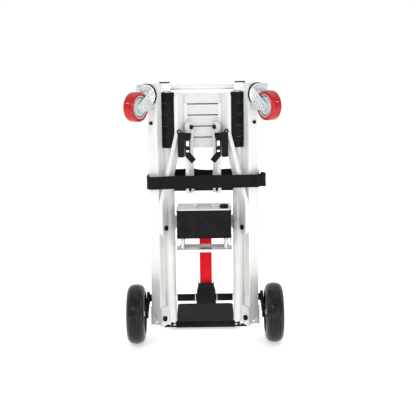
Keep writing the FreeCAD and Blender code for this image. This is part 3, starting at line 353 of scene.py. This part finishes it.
def soften(node):
    """Joins the node's split faces and rounds its sharp edges, as modifiers on the CAD object."""
    solid = frame["nodes"][node]
    weld = solid.modifiers.new("weld", "WELD")
    weld.merge_threshold = 0.00002
    bevel = solid.modifiers.new("bevel", "BEVEL")
    bevel.width = SOFT_EDGE.get(node, 0.0005)
    bevel.segments = 2
    bevel.limit_method = "ANGLE"
    bevel.angle_limit = math.radians(38)
    bevel.harden_normals = True
    solid.data.materials.clear()
    solid.data.materials.append(MATERIALS[slot_of[node]])


for node in frame["nodes"]:
    soften(node)


# ---------------------------------------------------------------- mesh helpers


def piece(name, mesh, body, slot, replaces=(), sharp=32):
    """Puts a finished mesh in the scene, riding on its body and wearing its slot's material."""
    mesh.update()
    mesh.shade_smooth()
    mesh.set_sharp_from_angle(angle=math.radians(sharp))
    thing = bpy.data.objects.new(name, mesh)
    scene.collection.objects.link(thing)
    mesh.materials.append(MATERIALS[slot])
    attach(thing, body)
    if replaces:
        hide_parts(*replaces)


def make_mesh(name, parts):
    """One mesh from several (points, faces) parts, with doubles joined and normals outward."""
    mesh = bpy.data.meshes.new(name)
    build = bmesh.new()
    for points, faces in parts:
        corners = [build.verts.new(point) for point in points]
        for face in faces:
            build.faces.new([corners[index] for index in face])
    bmesh.ops.remove_doubles(build, verts=build.verts, dist=1e-6)
    bmesh.ops.recalc_face_normals(build, faces=build.faces)
    build.to_mesh(mesh)
    build.free()
    return mesh


def ring_faces(rings, count):
    """Quads between neighbouring rings of count points, the last ring joined to the first."""
    faces = []
    for ring in range(rings):
        here, after = ring * count, (ring + 1) % rings * count
        for index in range(count):
            beside = (index + 1) % count
            faces.append((here + index, after + index, after + beside, here + beside))
    return faces


def frame_on(axis):
    """The axis at unit length and two directions square to it, the first of them level."""
    axis = Vector(axis).normalized()
    level = Z.cross(axis)
    if level.length < 0.01:
        level = X.copy()
    level.normalize()
    return axis, level, axis.cross(level)


def lathe(profile, centre, axis, steps=96):
    """A closed outline of (radius, along) in millimetres, turned about an axis through centre."""
    axis, level, third = frame_on(axis)
    points = []
    for step in range(steps):
        angle = 2 * math.pi * step / steps
        out = level * math.cos(angle) + third * math.sin(angle)
        for radius, along in profile:
            points.append(Vector(centre) + (out * radius + axis * along) * MM)
    return join_on_axis(points, ring_faces(steps, len(profile)), profile, steps)


def join_on_axis(points, faces, profile, steps):
    """Lets the outline's points on the axis be one point each, so that no quad is folded flat."""
    home = list(range(len(points)))
    for index, corner in enumerate(profile):
        if corner[0] < 1e-6:
            for step in range(steps):
                home[step * len(profile) + index] = index
    kept = []
    for face in faces:
        corners = []
        for corner in face:
            if home[corner] not in corners:
                corners.append(home[corner])
        if len(corners) > 2:
            kept.append(tuple(corners))
    used = sorted({corner for face in kept for corner in face})
    place = {corner: index for index, corner in enumerate(used)}
    return [points[corner] for corner in used], [tuple(place[c] for c in face) for face in kept]


def stacked_faces(rings, count):
    """Both end faces and the side quads of a closed stack of rings of count points each."""
    last = (rings - 1) * count
    faces = [tuple(range(count)), tuple(range(last, last + count))[::-1]]
    for low in range(0, last, count):
        for index in range(count):
            beside = (index + 1) % count
            faces.append((low + index, low + beside, low + count + beside, low + count + index))
    return faces


def swept(outline, along, start, end):
    """A closed outline of (a, b) in metres extruded from start to end, on two given directions."""
    first, second = along
    points = [Vector(place) + first * a + second * b for place in (start, end) for a, b in outline]
    return points, stacked_faces(2, len(outline))


def block(centre, across, up, out, half, edge):
    """A block with its corners rounded in the plane of across and up, chamfered front and back."""
    wide, high, deep = half
    points = []
    for along, inset in ((-deep, edge), (-deep + edge, 0), (deep - edge, 0), (deep, edge)):
        for quarter in range(4):
            sign_a = 1 if quarter in (0, 3) else -1
            sign_b = 1 if quarter in (0, 1) else -1
            for step in range(4):
                angle = math.radians(90 * quarter + 30 * step)
                a = sign_a * (wide - edge * 2) + (edge * 2 - inset) * math.cos(angle)
                b = sign_b * (high - edge * 2) + (edge * 2 - inset) * math.sin(angle)
                points.append(Vector(centre) + across * a + up * b + out * along)
    return points, stacked_faces(4, 16)


def joint_at(name):
    return Vector(joints[name]["pos_m"])


def smooth_line(points, spacing):
    """Points at even spacing along a soft curve through the given ones."""
    raw = []
    for index in range(len(points) - 1):
        before = points[max(index - 1, 0)]
        after = points[min(index + 2, len(points) - 1)]
        a, b = points[index], points[index + 1]
        for step in range(24):
            t = step / 24
            raw.append(0.5 * ((2 * a) + (b - before) * t + (2 * before - 5 * a + 4 * b - after) * t ** 2
                              + (3 * a - before - 3 * b + after) * t ** 3))
    raw.append(points[-1])
    line = [raw[0]]
    for a, b in zip(raw, raw[1:]):
        while (b - line[-1]).length >= spacing:
            line.append(line[-1] + (b - line[-1]).normalized() * spacing)
    return line


# ---------------------------------------------------------------- drive wheels

# In millimetres, as every lathe profile is.
TYRE_THICK = 34
SHOULDER_HIGH = 26.0
SHOULDER_BOW = 2.3
GROOVES = (-15.5, -9.5, -3.2, 3.2, 9.5, 15.5)
GROOVE_WIDE = 0.9
GROOVE_DEEP = 1.9


def tyre(word):
    """A solid tyre: round shoulders, fine grooves round the tread, stepped side walls."""
    low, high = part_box(f"tyre_{word}")
    centre = (low + high) / 2
    half = (high.x - low.x) / 2 / MM
    radius = (high.z - low.z) / 2 / MM
    rim = radius - TYRE_THICK
    outer = []
    for step in range(-90, 91):
        x = half * math.sin(step / 90 * math.pi / 2)
        drop = (1 - abs(x / half) ** SHOULDER_BOW) ** (1 / SHOULDER_BOW)
        r = radius - SHOULDER_HIGH + SHOULDER_HIGH * drop
        dip = max(math.exp(-((x - groove) / GROOVE_WIDE) ** 2) for groove in GROOVES)
        outer.append((r - GROOVE_DEEP * dip, x))
    side = [(radius - 27.5, half - 0.2), (radius - 28.2, half - 1.2), (radius - 30, half - 1.4),
            (rim + 1.5, half - 1.8), (rim, half - 3.6)]
    profile = outer + side + [(r, -x) for r, x in reversed(side)]
    mesh = make_mesh(f"tyre_{word}", [lathe(profile, centre, X, 128)])
    piece(f"tyre_{word}_grooved", mesh, f"wheel_{word}", "tyre_rubber", [f"tyre_{word}"], 50)


def rim_ribs(word):
    """The six raised spokes on each face of a wheel rim."""
    low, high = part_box(f"tyre_{word}")
    centre = (low + high) / 2
    ribs = []
    for number in range(6):
        angle = math.radians(60 * number)
        out = Y * math.cos(angle) + Z * math.sin(angle)
        beside = X.cross(out)
        for face in (-1, 1):
            middle = centre + out * 0.038 + X * face * 0.0105
            ribs.append(block(middle, out, beside, X, (0.0185, 0.0032, 0.0055), 0.0011))
    mesh = make_mesh(f"rim_ribs_{word}", ribs)
    piece(f"rim_ribs_{word}", mesh, f"wheel_{word}", "grey_rim")


for word in SIDES:
    tyre(word)
    rim_ribs(word)


# ---------------------------------------------------------------- swivel casters

# How far the crown stands out from the swivel joint, in metres.
CROWN_OUT = 0.0176
TREAD_HALF_WIDE, TREAD_RADIUS = 19.0, 50.0


def caster_crown(word):
    """The fork's pressed crown: raised rings round the kingpin's dome."""
    top = joint_at(f"caster_{word}_swivel")
    outward = Vector(joints[f"caster_{word}_swivel"]["axis"]).normalized()
    if outward.y > 0:
        outward = -outward
    crown = top + outward * CROWN_OUT
    profile = [
        (0, -1.0), (35.2, -1.0), (35.7, 0.2), (34.4, 1.4), (31.0, 2.2), (28.0, 1.9), (26.0, 0.6),
        (22.0, 0.5), (20.4, 1.8), (18.0, 2.3), (15.6, 1.6), (14.6, 0.5), (11.4, 0.5), (11.0, 2.6),
        (9.2, 3.4), (7.0, 3.4), (6.6, 4.9), (4.4, 6.0), (0, 6.4),
    ]
    mesh = make_mesh(f"caster_crown_{word}", [lathe(profile, crown, outward, 72)])
    piece(f"caster_crown_{word}", mesh, f"caster_fork_{word}", "zinc_steel")


def caster_wheel(word):
    """A moulded tread with rounded corners, on a dished core with a dark ring in its face."""
    hub = joint_at(f"caster_{word}_spin")
    axle = Vector(joints[f"caster_{word}_spin"]["axis"]).normalized()
    half, radius = TREAD_HALF_WIDE, TREAD_RADIUS
    outer = []
    for step in range(-24, 25):
        x = half * math.sin(step / 24 * math.pi / 2)
        corner = (1 - abs(x / half) ** 4.2) ** (1 / 4.2)
        crowning = 1 - (x / half) ** 2
        outer.append((radius - 9.5 + 8.7 * corner + 0.8 * crowning, x))
    profile = outer + [(39.2, half - 0.5), (37.6, half - 1.6), (37.6, -half + 1.6), (39.2, -half + 0.5)]
    mesh = make_mesh(f"caster_tread_{word}", [lathe(profile, hub, axle, 112)])
    piece(f"caster_tread_{word}_moulded", mesh, f"caster_wheel_{word}", "red_tread",
          [f"caster_tread_{word}"], 50)
    face = [
        (37.7, 17.0), (36.9, 18.4), (35.2, 18.7), (34.0, 17.6), (33.2, 15.4), (30.4, 15.2),
        (29.4, 17.6), (28.2, 18.2), (20.0, 17.6), (17.2, 16.6), (13.0, 16.4), (12.2, 18.6),
        (10.6, 21.3), (5.1, 21.5),
    ]
    profile = face + [(r, -x) for r, x in reversed(face)]
    mesh = make_mesh(f"caster_core_{word}", [lathe(profile, hub, axle, 96)])
    piece(f"caster_core_{word}_dished", mesh, f"caster_wheel_{word}", "light_core",
          [f"caster_core_{word}"], 28)
    dark = []
    for end in (-1, 1):
        ring = [(33.1, end * 15.5), (33.5, end * 16.0), (30.2, end * 16.0), (30.4, end * 15.3)]
        dark.append(lathe(ring, hub, axle, 96))
    mesh = make_mesh(f"caster_ring_{word}", dark)
    piece(f"caster_ring_{word}", mesh, f"caster_wheel_{word}", "grey_rim")


for word in SIDES:
    caster_crown(word)
    caster_wheel(word)


# ---------------------------------------------------------------- webbing strap


RIBBON_ROWS = 14


def ribbon(line, width, middle_z, lift, thick=0.0026):
    """A flat strap on edge: line is its path seen from above, lift gives a point's push and rise."""
    points = []
    total = len(line)
    rows = [row / RIBBON_ROWS * 2 - 1 for row in range(RIBBON_ROWS + 1)]
    around = [(1, v) for v in rows] + [(-1, v) for v in reversed(rows)]
    for index, place in enumerate(line):
        ahead = line[min(index + 1, total - 1)] - line[max(index - 1, 0)]
        out = ahead.cross(Z).normalized()
        for layer, v in around:
            push, rise = lift(place, index / (total - 1), v)
            selvedge = 1 + 0.35 * math.exp(-((1 - abs(v)) / 0.07) ** 2)
            offset = push + layer * thick / 2 * (selvedge if abs(v) < 0.999 else 0.55)
            points.append(place + out * offset + Z * (middle_z + rise + v * width / 2))
    return points, stacked_faces(total, len(around))


def strap_path(half, wall, far, corner, spacing=0.003):
    """A U seen from above, from the far end on the left, across at wall, to the far end on the right."""
    turn = math.copysign(1, wall - far)
    points = []
    steps = 10
    straight = max(2, int(abs(wall - far) / spacing))
    for index in range(straight):
        share = index / straight
        points.append(Vector((-half, far + (wall - turn * corner - far) * share, 0)))
    for index in range(steps + 1):
        angle = math.pi / 2 * index / steps
        points.append(Vector((-half + corner * (1 - math.cos(angle)),
                              wall - turn * corner + turn * corner * math.sin(angle), 0)))
    across = int(2 * (half - corner) / spacing)
    for index in range(1, across):
        points.append(Vector((-half + corner + 2 * (half - corner) * index / across, wall, 0)))
    mirrored = [Vector((-p.x, p.y, 0)) for p in reversed(points[:straight + steps + 1])]
    return points + mirrored


STRAP_WIDE = 0.044
STRAP_Z = 0.555
# Each crease's place across the trolley, its lean and its depth, in metres.
CREASES = ((-0.062, 0.020, 0.0017), (-0.020, 0.026, 0.0013), (0.045, -0.018, 0.0008))


def front_lift(place, along, v):
    """The front run's slack: long waves, and diagonal creases left of the middle."""
    wave = 0.0009 * math.sin(place.x * 31 + v * 0.7) + 0.0006 * math.sin(place.x * 83 + v * 1.9 + 1)
    crease = 0.0
    for centre, lean, strength in CREASES:
        across = (place.x - centre - lean * v) / 0.0065
        crease += strength * math.exp(-across * across)
    rise = 0.0016 * math.sin(place.x * 9 + 0.6) + 0.0006 * math.sin(place.x * 47)
    return wave - crease * 0.8, rise


def rear_lift(place, along, v):
    """The rear run hangs slack, so that its upper edge dips and twists."""
    wave = 0.0012 * math.sin(place.x * 26 + v * 1.1)
    hump = 0.0042 * math.exp(-((place.x + 0.045) / 0.020) ** 2)
    sag = 0.0035 * math.exp(-((place.x - 0.02) / 0.05) ** 2)
    return wave, (hump - sag) * (0.35 + 0.65 * max(v, 0))


# How far the second layer stands off the first, and half a strap's thickness with its waves.
LAYER = 0.0025
HEM = 0.0015


def tail_lift(place, along, v):
    """The loose end rises and twists slightly towards its tip."""
    return 0.0004 * math.sin(v * 3 + along * 9), 0.0034 + 0.0022 * along + 0.0012 * v * along


def tail_fold(wide, wall):
    """The loose end's path from above, folded back on itself at the right corner."""
    steps = (
        (-0.014, -0.0030), (-0.002, -0.0020), (0.0045, 0.0035), (0.0105, 0.0010), (0.0175, 0.0020),
        (0.0215, 0.0100), (0.0195, 0.0230), (0.0120, 0.0300), (0.0060, 0.0250), (0.0065, 0.0130),
        (0.0120, 0.0090),
    )
    return [Vector((wide + across, wall + deep, 0)) for across, deep in steps]


def front_strap():
    """The front run, its sewn second layer at the left corner and its folded loose end."""
    low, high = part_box("strap_front")
    wide, wall = -low.x - HEM, low.y + HEM
    line = strap_path(wide, wall, -0.066, 0.012)
    lap = [place for place in line if place.x < -0.146 and place.y < -0.085]
    left_out = (line[20] - line[18]).cross(Z)
    outward = 1 if left_out.x < 0 else -1

    def outer_lap(place, along, v):
        push, rise = front_lift(place, along, v)
        return push + outward * LAYER, rise

    parts = [
        ribbon(line, STRAP_WIDE, STRAP_Z, front_lift),
        ribbon(lap, 0.0432, STRAP_Z, outer_lap, 0.0022),
        ribbon(smooth_line(tail_fold(wide, wall), 0.0015), 0.0425, STRAP_Z, tail_lift, 0.0024),
    ]
    mesh = make_mesh("strap_front", parts)
    piece("strap_front_webbing", mesh, "leg_frame", "black_webbing", ["strap_front"], 60)
    strap_stitches(lap[-1].x - 0.004, wall - 0.0038)


def strap_stitches(edge_x, face_y):
    """Two rows of stitches near the second layer's sewn end."""
    stitches = []
    for x in (edge_x, edge_x - 0.024):
        push = front_lift(Vector((x, 0, 0)), 0, 0)[0]
        sway = 0.0016 * math.sin(x * 9 + 0.6)
        for step in range(12):
            place = Vector((x, face_y - push * 0.2, STRAP_Z - 0.0185 + step * 0.00335 + sway))
            stitches.append(block(place, X, Z, Y, (0.0005, 0.00125, 0.0005), 0.0002))
    mesh = make_mesh("strap_stitches", stitches)
    piece("strap_stitches", mesh, "leg_frame", "black_webbing")


def rear_strap():
    """The slack rear run, in one layer."""
    low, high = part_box("strap_rear")
    line = strap_path(-low.x - HEM, high.y - HEM, -0.064, 0.012)
    mesh = make_mesh("strap_rear", [ribbon(line, STRAP_WIDE, (low.z + high.z) / 2, rear_lift)])
    piece("strap_rear_webbing", mesh, "main_frame", "black_webbing", ["strap_rear"], 60)


front_strap()
rear_strap()


# ---------------------------------------------------------------- handle


def tee_plugs():
    """The dark moulded plug that closes the top of each tee block."""
    low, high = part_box("handle_tees")
    plugs = []
    for word, side in SIDES.items():
        centre = Vector((side * (high.x - 0.022), (low.y + high.y) / 2, high.z - 0.0006))
        plugs.append(block(centre, X, Y, Z, (0.0178, 0.0148, 0.0015), 0.0007))
    mesh = make_mesh("tee_plugs", plugs)
    piece("tee_plugs", mesh, "handle", "black_plastic")


tee_plugs()


# ---------------------------------------------------------------- slats


SLAT_PITCH, SLAT_TALL, SLAT_WALL = 0.0378, 0.0348, 0.003
ROLL_WIDE, ROLL_DEEP = 0.0022, 0.0018
RIDGES = (0.22, 0.36, 0.64, 0.78)
RIDGE_WIDE, RIDGE_HIGH = 0.0007, 0.0005


def slat_section(base, front, thick):
    """One slat seen from its end: a face with soft ridges and rolled edges, and three ribs behind."""
    face = []
    for step in range(41):
        share = step / 40
        edge = min(share, 1 - share) * SLAT_TALL
        roll = max(0.0, 1 - edge / ROLL_WIDE)
        ridge = sum(RIDGE_HIGH * math.exp(-((share - at) * SLAT_TALL / RIDGE_WIDE) ** 2) for at in RIDGES)
        face.append((base + SLAT_TALL * share, front + ROLL_DEEP * roll * roll + ridge))
    inner, rear = front + SLAT_WALL, front + thick
    top, middle, half_rib = base + SLAT_TALL, base + SLAT_TALL / 2, SLAT_WALL / 2
    back = [
        (top, rear), (top - SLAT_WALL, rear), (top - SLAT_WALL, inner),
        (middle + half_rib, inner), (middle + half_rib, rear),
        (middle - half_rib, rear), (middle - half_rib, inner),
        (base + SLAT_WALL, inner), (base + SLAT_WALL, rear), (base, rear),
    ]
    return face + back


def make_slats():
    low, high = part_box("slats")
    parts = []
    for number in range(5):
        section = slat_section(low.z + number * SLAT_PITCH, low.y, high.y - low.y)
        parts.append(swept(section, (Z, Y), X * low.x, X * high.x))
    mesh = make_mesh("slats", parts)
    piece("slats_ridged", mesh, "main_frame", "white_slat", ["slats"], 25)


make_slats()


# ---------------------------------------------------------------- drive belt


TOOTH_PITCH, TOOTH_ROOT, TOOTH_TIP = 0.008, 0.0024, 0.0040


def belt_route(along, low_z, high_z, mid_y, radius):
    """The pulley-side centre and the outward direction at a length along the belt's loop."""
    run, half_turn = high_z - low_z, math.pi * radius
    if along < run:
        return Vector((0, mid_y, low_z + along)), Vector((0, -1, 0))
    if along < run + half_turn:
        angle = (along - run) / radius
        return Vector((0, mid_y, high_z)), Vector((0, -math.cos(angle), math.sin(angle)))
    if along < 2 * run + half_turn:
        return Vector((0, mid_y, high_z - (along - run - half_turn))), Vector((0, 1, 0))
    angle = (along - 2 * run - half_turn) / radius
    return Vector((0, mid_y, low_z)), Vector((0, math.cos(angle), -math.sin(angle)))


def belt_section(half, radius, tooth):
    """Points of (across, out) round the belt: two faint edge beads outside, a flat inside."""
    section = []
    for share in (-1, -0.97, -0.90, -0.84, -0.5, 0, 0.5, 0.84, 0.90, 0.97, 1):
        bead = 0.0
        if abs(share) == 1:
            bead = -0.0009
        elif abs(share) in (0.97, 0.84):
            bead = -0.0002
        section.append((share * half, radius + bead - 0.0002 * abs(share)))
    return section + [(half, radius - tooth), (-half, radius - tooth)]


def make_belt():
    """A toothed belt: square teeth inside and a slightly crowned back."""
    low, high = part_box("drive_belt")
    middle_x = (low.x + high.x) / 2
    radius = (high.y - low.y) / 2
    low_z, high_z = low.z + radius, high.z - radius
    around = 2 * (high_z - low_z) + 2 * math.pi * radius
    steps = 4 * int(around / TOOTH_PITCH)
    points = []
    for step in range(steps):
        centre, out = belt_route(around * step / steps, low_z, high_z, (low.y + high.y) / 2, radius)
        tooth = TOOTH_TIP if step % 4 in (0, 1) else TOOTH_ROOT
        section = belt_section((high.x - low.x) / 2, radius, tooth)
        points += [X * (middle_x + x) + centre + out * r for x, r in section]
    mesh = make_mesh("drive_belt", [(points, ring_faces(steps, len(section)))])
    piece("drive_belt_toothed", mesh, "main_frame", "red_belt", ["drive_belt"], 40)


make_belt()


# ---------------------------------------------------------------- battery and dock


def coil(name, foot, height, radius, turns, wire, body, slot):
    """A compression spring round a post, with its ends closed flat."""
    data = bpy.data.curves.new(name, "CURVE")
    data.dimensions = "3D"
    data.bevel_depth = wire
    data.bevel_resolution = 2
    spline = data.splines.new("NURBS")
    steps = turns * 12
    spline.points.add(steps)
    for step in range(steps + 1):
        share = step / steps
        angle = 2 * math.pi * turns * share
        rise = height * min(1, max(0, (share - 0.08) / 0.84))
        spline.points[step].co = (foot.x + radius * math.cos(angle), foot.y + radius * math.sin(angle),
                                  foot.z + rise, 1)
    spline.order_u = 4
    spline.use_endpoint_u = True
    thing = bpy.data.objects.new(name, data)
    scene.collection.objects.link(thing)
    data.materials.append(MATERIALS[slot])
    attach(thing, body)


CASE_CORNER = 0.009


def case_band(low, high, z, tall, proud):
    """A band round the battery case at height z, tall to each side and standing proud of the wall."""
    middle, half = (low + high) / 2, (high - low) / 2
    section = ((CASE_CORNER - 0.001, -tall), (CASE_CORNER + proud, -tall * 0.6),
               (CASE_CORNER + proud, tall * 0.6), (CASE_CORNER - 0.001, tall))
    points = []
    for quarter in range(4):
        sign_x = 1 if quarter in (0, 3) else -1
        sign_y = 1 if quarter in (0, 1) else -1
        x = middle.x + sign_x * (half.x - CASE_CORNER)
        y = middle.y + sign_y * (half.y - CASE_CORNER)
        for step in range(7):
            angle = math.radians(90 * quarter + 15 * step)
            out = Vector((math.cos(angle), math.sin(angle), 0))
            points += [Vector((x, y, z + rise)) + out * reach for reach, rise in section]
    return points, ring_faces(len(points) // 4, 4)


def battery_bands():
    """The case's parting bead, its foot band and its top band."""
    low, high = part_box("battery_case")
    bands = [
        case_band(low, high, low.z + 0.036, 0.0008, 0.0005),
        case_band(low, high, low.z + 0.0035, 0.0030, 0.0009),
        case_band(low, high, high.z - 0.004, 0.0022, 0.0007),
    ]
    mesh = make_mesh("battery_bands", bands)
    piece("battery_bands", mesh, "battery", "black_plastic")


FLUTES, FLUTE_DEEP = 24, 0.9


def battery_knob():
    """A fluted knob with a dished top and a raised pointer."""
    low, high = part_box("battery_knob")
    centre = (low + high) / 2
    radius = (high.x - low.x) / 2 / MM
    tall = (high.z - low.z) / 2 / MM
    axis, level, third = frame_on(Z)
    # Each corner is its radius, its height and how deep the flutes cut there.
    outline = [(0, -tall, 0), (radius - 3, -tall, 0), (radius, -tall + 1.5, 1), (radius, tall - 2.5, 1),
               (radius - 0.8, tall - 1.2, 0.6), (radius - 2.4, tall - 0.2, 0), (radius - 5, tall, 0),
               (radius - 6.5, tall - 1.0, 0), (0, tall - 1.2, 0)]
    points = []
    steps = 5 * FLUTES
    for step in range(steps):
        angle = 2 * math.pi * step / steps
        flute = FLUTE_DEEP * max(0.0, math.cos(FLUTES * angle))
        out = level * math.cos(angle) + third * math.sin(angle)
        for r, along, share in outline:
            points.append(centre + (out * max(0.0, r - flute * share) + axis * along) * MM)
    knob = join_on_axis(points, ring_faces(steps, len(outline)), outline, steps)
    pointer = block(centre + Z * (tall * MM) + Y * -0.006, X, Y, Z, (0.0012, 0.0060, 0.0009), 0.0004)
    mesh = make_mesh("battery_knob", [knob, pointer])
    piece("battery_knob_fluted", mesh, "battery_knob", "black_plastic", ["battery_knob"], 35)


POST_RADIUS = 0.006


def post_springs():
    """A spring round each of the four dock posts."""
    low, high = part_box("dock_posts")
    for word, side in SIDES.items():
        x = side * (high.x - POST_RADIUS)
        for deep, y in (("front", low.y + POST_RADIUS), ("rear", high.y - POST_RADIUS)):
            coil(f"post_spring_{word}_{deep}", Vector((x, y, low.z + 0.001)), high.z - low.z - 0.002,
                 0.0078, 6, 0.0007, "main_frame", "bright_steel")


battery_bands()
battery_knob()
post_springs()


# ---------------------------------------------------------------- clamps


LEVER_X = 0.0515
LEVER_FRONT = -0.132
PADDLE_LEAN = 40


def lever_trim(name, word, parts, slot):
    """A piece that rides on one side's clamp lever."""
    piece(f"{name}_{word}", make_mesh(f"{name}_{word}", parts), f"clamp_lever_{word}", slot)


def lever_inserts(word, side):
    """The pale strips in the lever's two slots."""
    pale = []
    for z, tall in ((0.6875, 0.0085), (0.6618, 0.0042)):
        place = Vector((side * LEVER_X, LEVER_FRONT + 0.0035, z))
        pale.append(block(place, X, Z, Y, (0.0051, tall, 0.0026), 0.0008))
    lever_trim("lever_insert", word, pale, "bright_steel")


def paddle_ribs(word, side):
    """Six grip ribs across the leaning thumb paddle."""
    tilt = math.radians(side * PADDLE_LEAN)
    across = Vector((math.cos(tilt), 0, -math.sin(tilt)))
    up = Vector((math.sin(tilt), 0, math.cos(tilt)))
    paddle = Vector((side * 0.042, -0.1330, 0.639))
    ribs = []
    for step in range(6):
        place = paddle + up * (-0.0138 + step * 0.0040)
        ribs.append(block(place, across, up, Y, (0.0090, 0.0010, 0.0013), 0.0004))
    lever_trim("lever_ribs", word, ribs, "black_plastic")


def lever_caps(word, side):
    """The rivet cap, the hood over the pin with its brow and button, and the pin's two ends."""
    rivet = [(0, -0.5), (5.9, -0.5), (6.3, 0.4), (5.6, 1.6), (3.4, 2.4), (0, 2.6)]
    place = Vector((side * LEVER_X, -0.1359, 0.671))
    lever_trim("lever_cap", word, [lathe(rivet, place, -Y, 40)], "black_steel")
    hood = block(Vector((side * LEVER_X, -0.1335, 0.7135)), X, Z, Y, (0.0118, 0.0098, 0.0032), 0.0016)
    brow = block(Vector((side * LEVER_X, -0.1345, 0.7205)), X, Z, Y, (0.0132, 0.0026, 0.0036), 0.0010)
    lever_trim("lever_hood", word, [hood, brow], "black_plastic")
    button = [(0, 0), (6.4, 0), (6.7, 0.6), (5.6, 1.7), (3.2, 2.5), (0, 2.8)]
    place = Vector((side * LEVER_X, -0.1362, 0.7125))
    lever_trim("lever_button", word, [lathe(button, place, -Y, 40)], "black_plastic")
    pin = joint_at(f"clamp_lever_{word}_swing")
    cap = [(0, 0), (6.4, 0), (6.8, 0.5), (6.0, 1.2), (3.2, 1.5), (0, 1.5)]
    ends = []
    for end in (-1, 1):
        place = Vector((side * LEVER_X + end * 0.0090, pin.y, pin.z))
        ends.append(lathe(cap, place, X * end, 40))
    lever_trim("lever_pin_caps", word, ends, "black_steel")


for word, side in SIDES.items():
    lever_inserts(word, side)
    paddle_ribs(word, side)
    lever_caps(word, side)


make_surroundings()
make_lights()
make_floor()
make_camera()
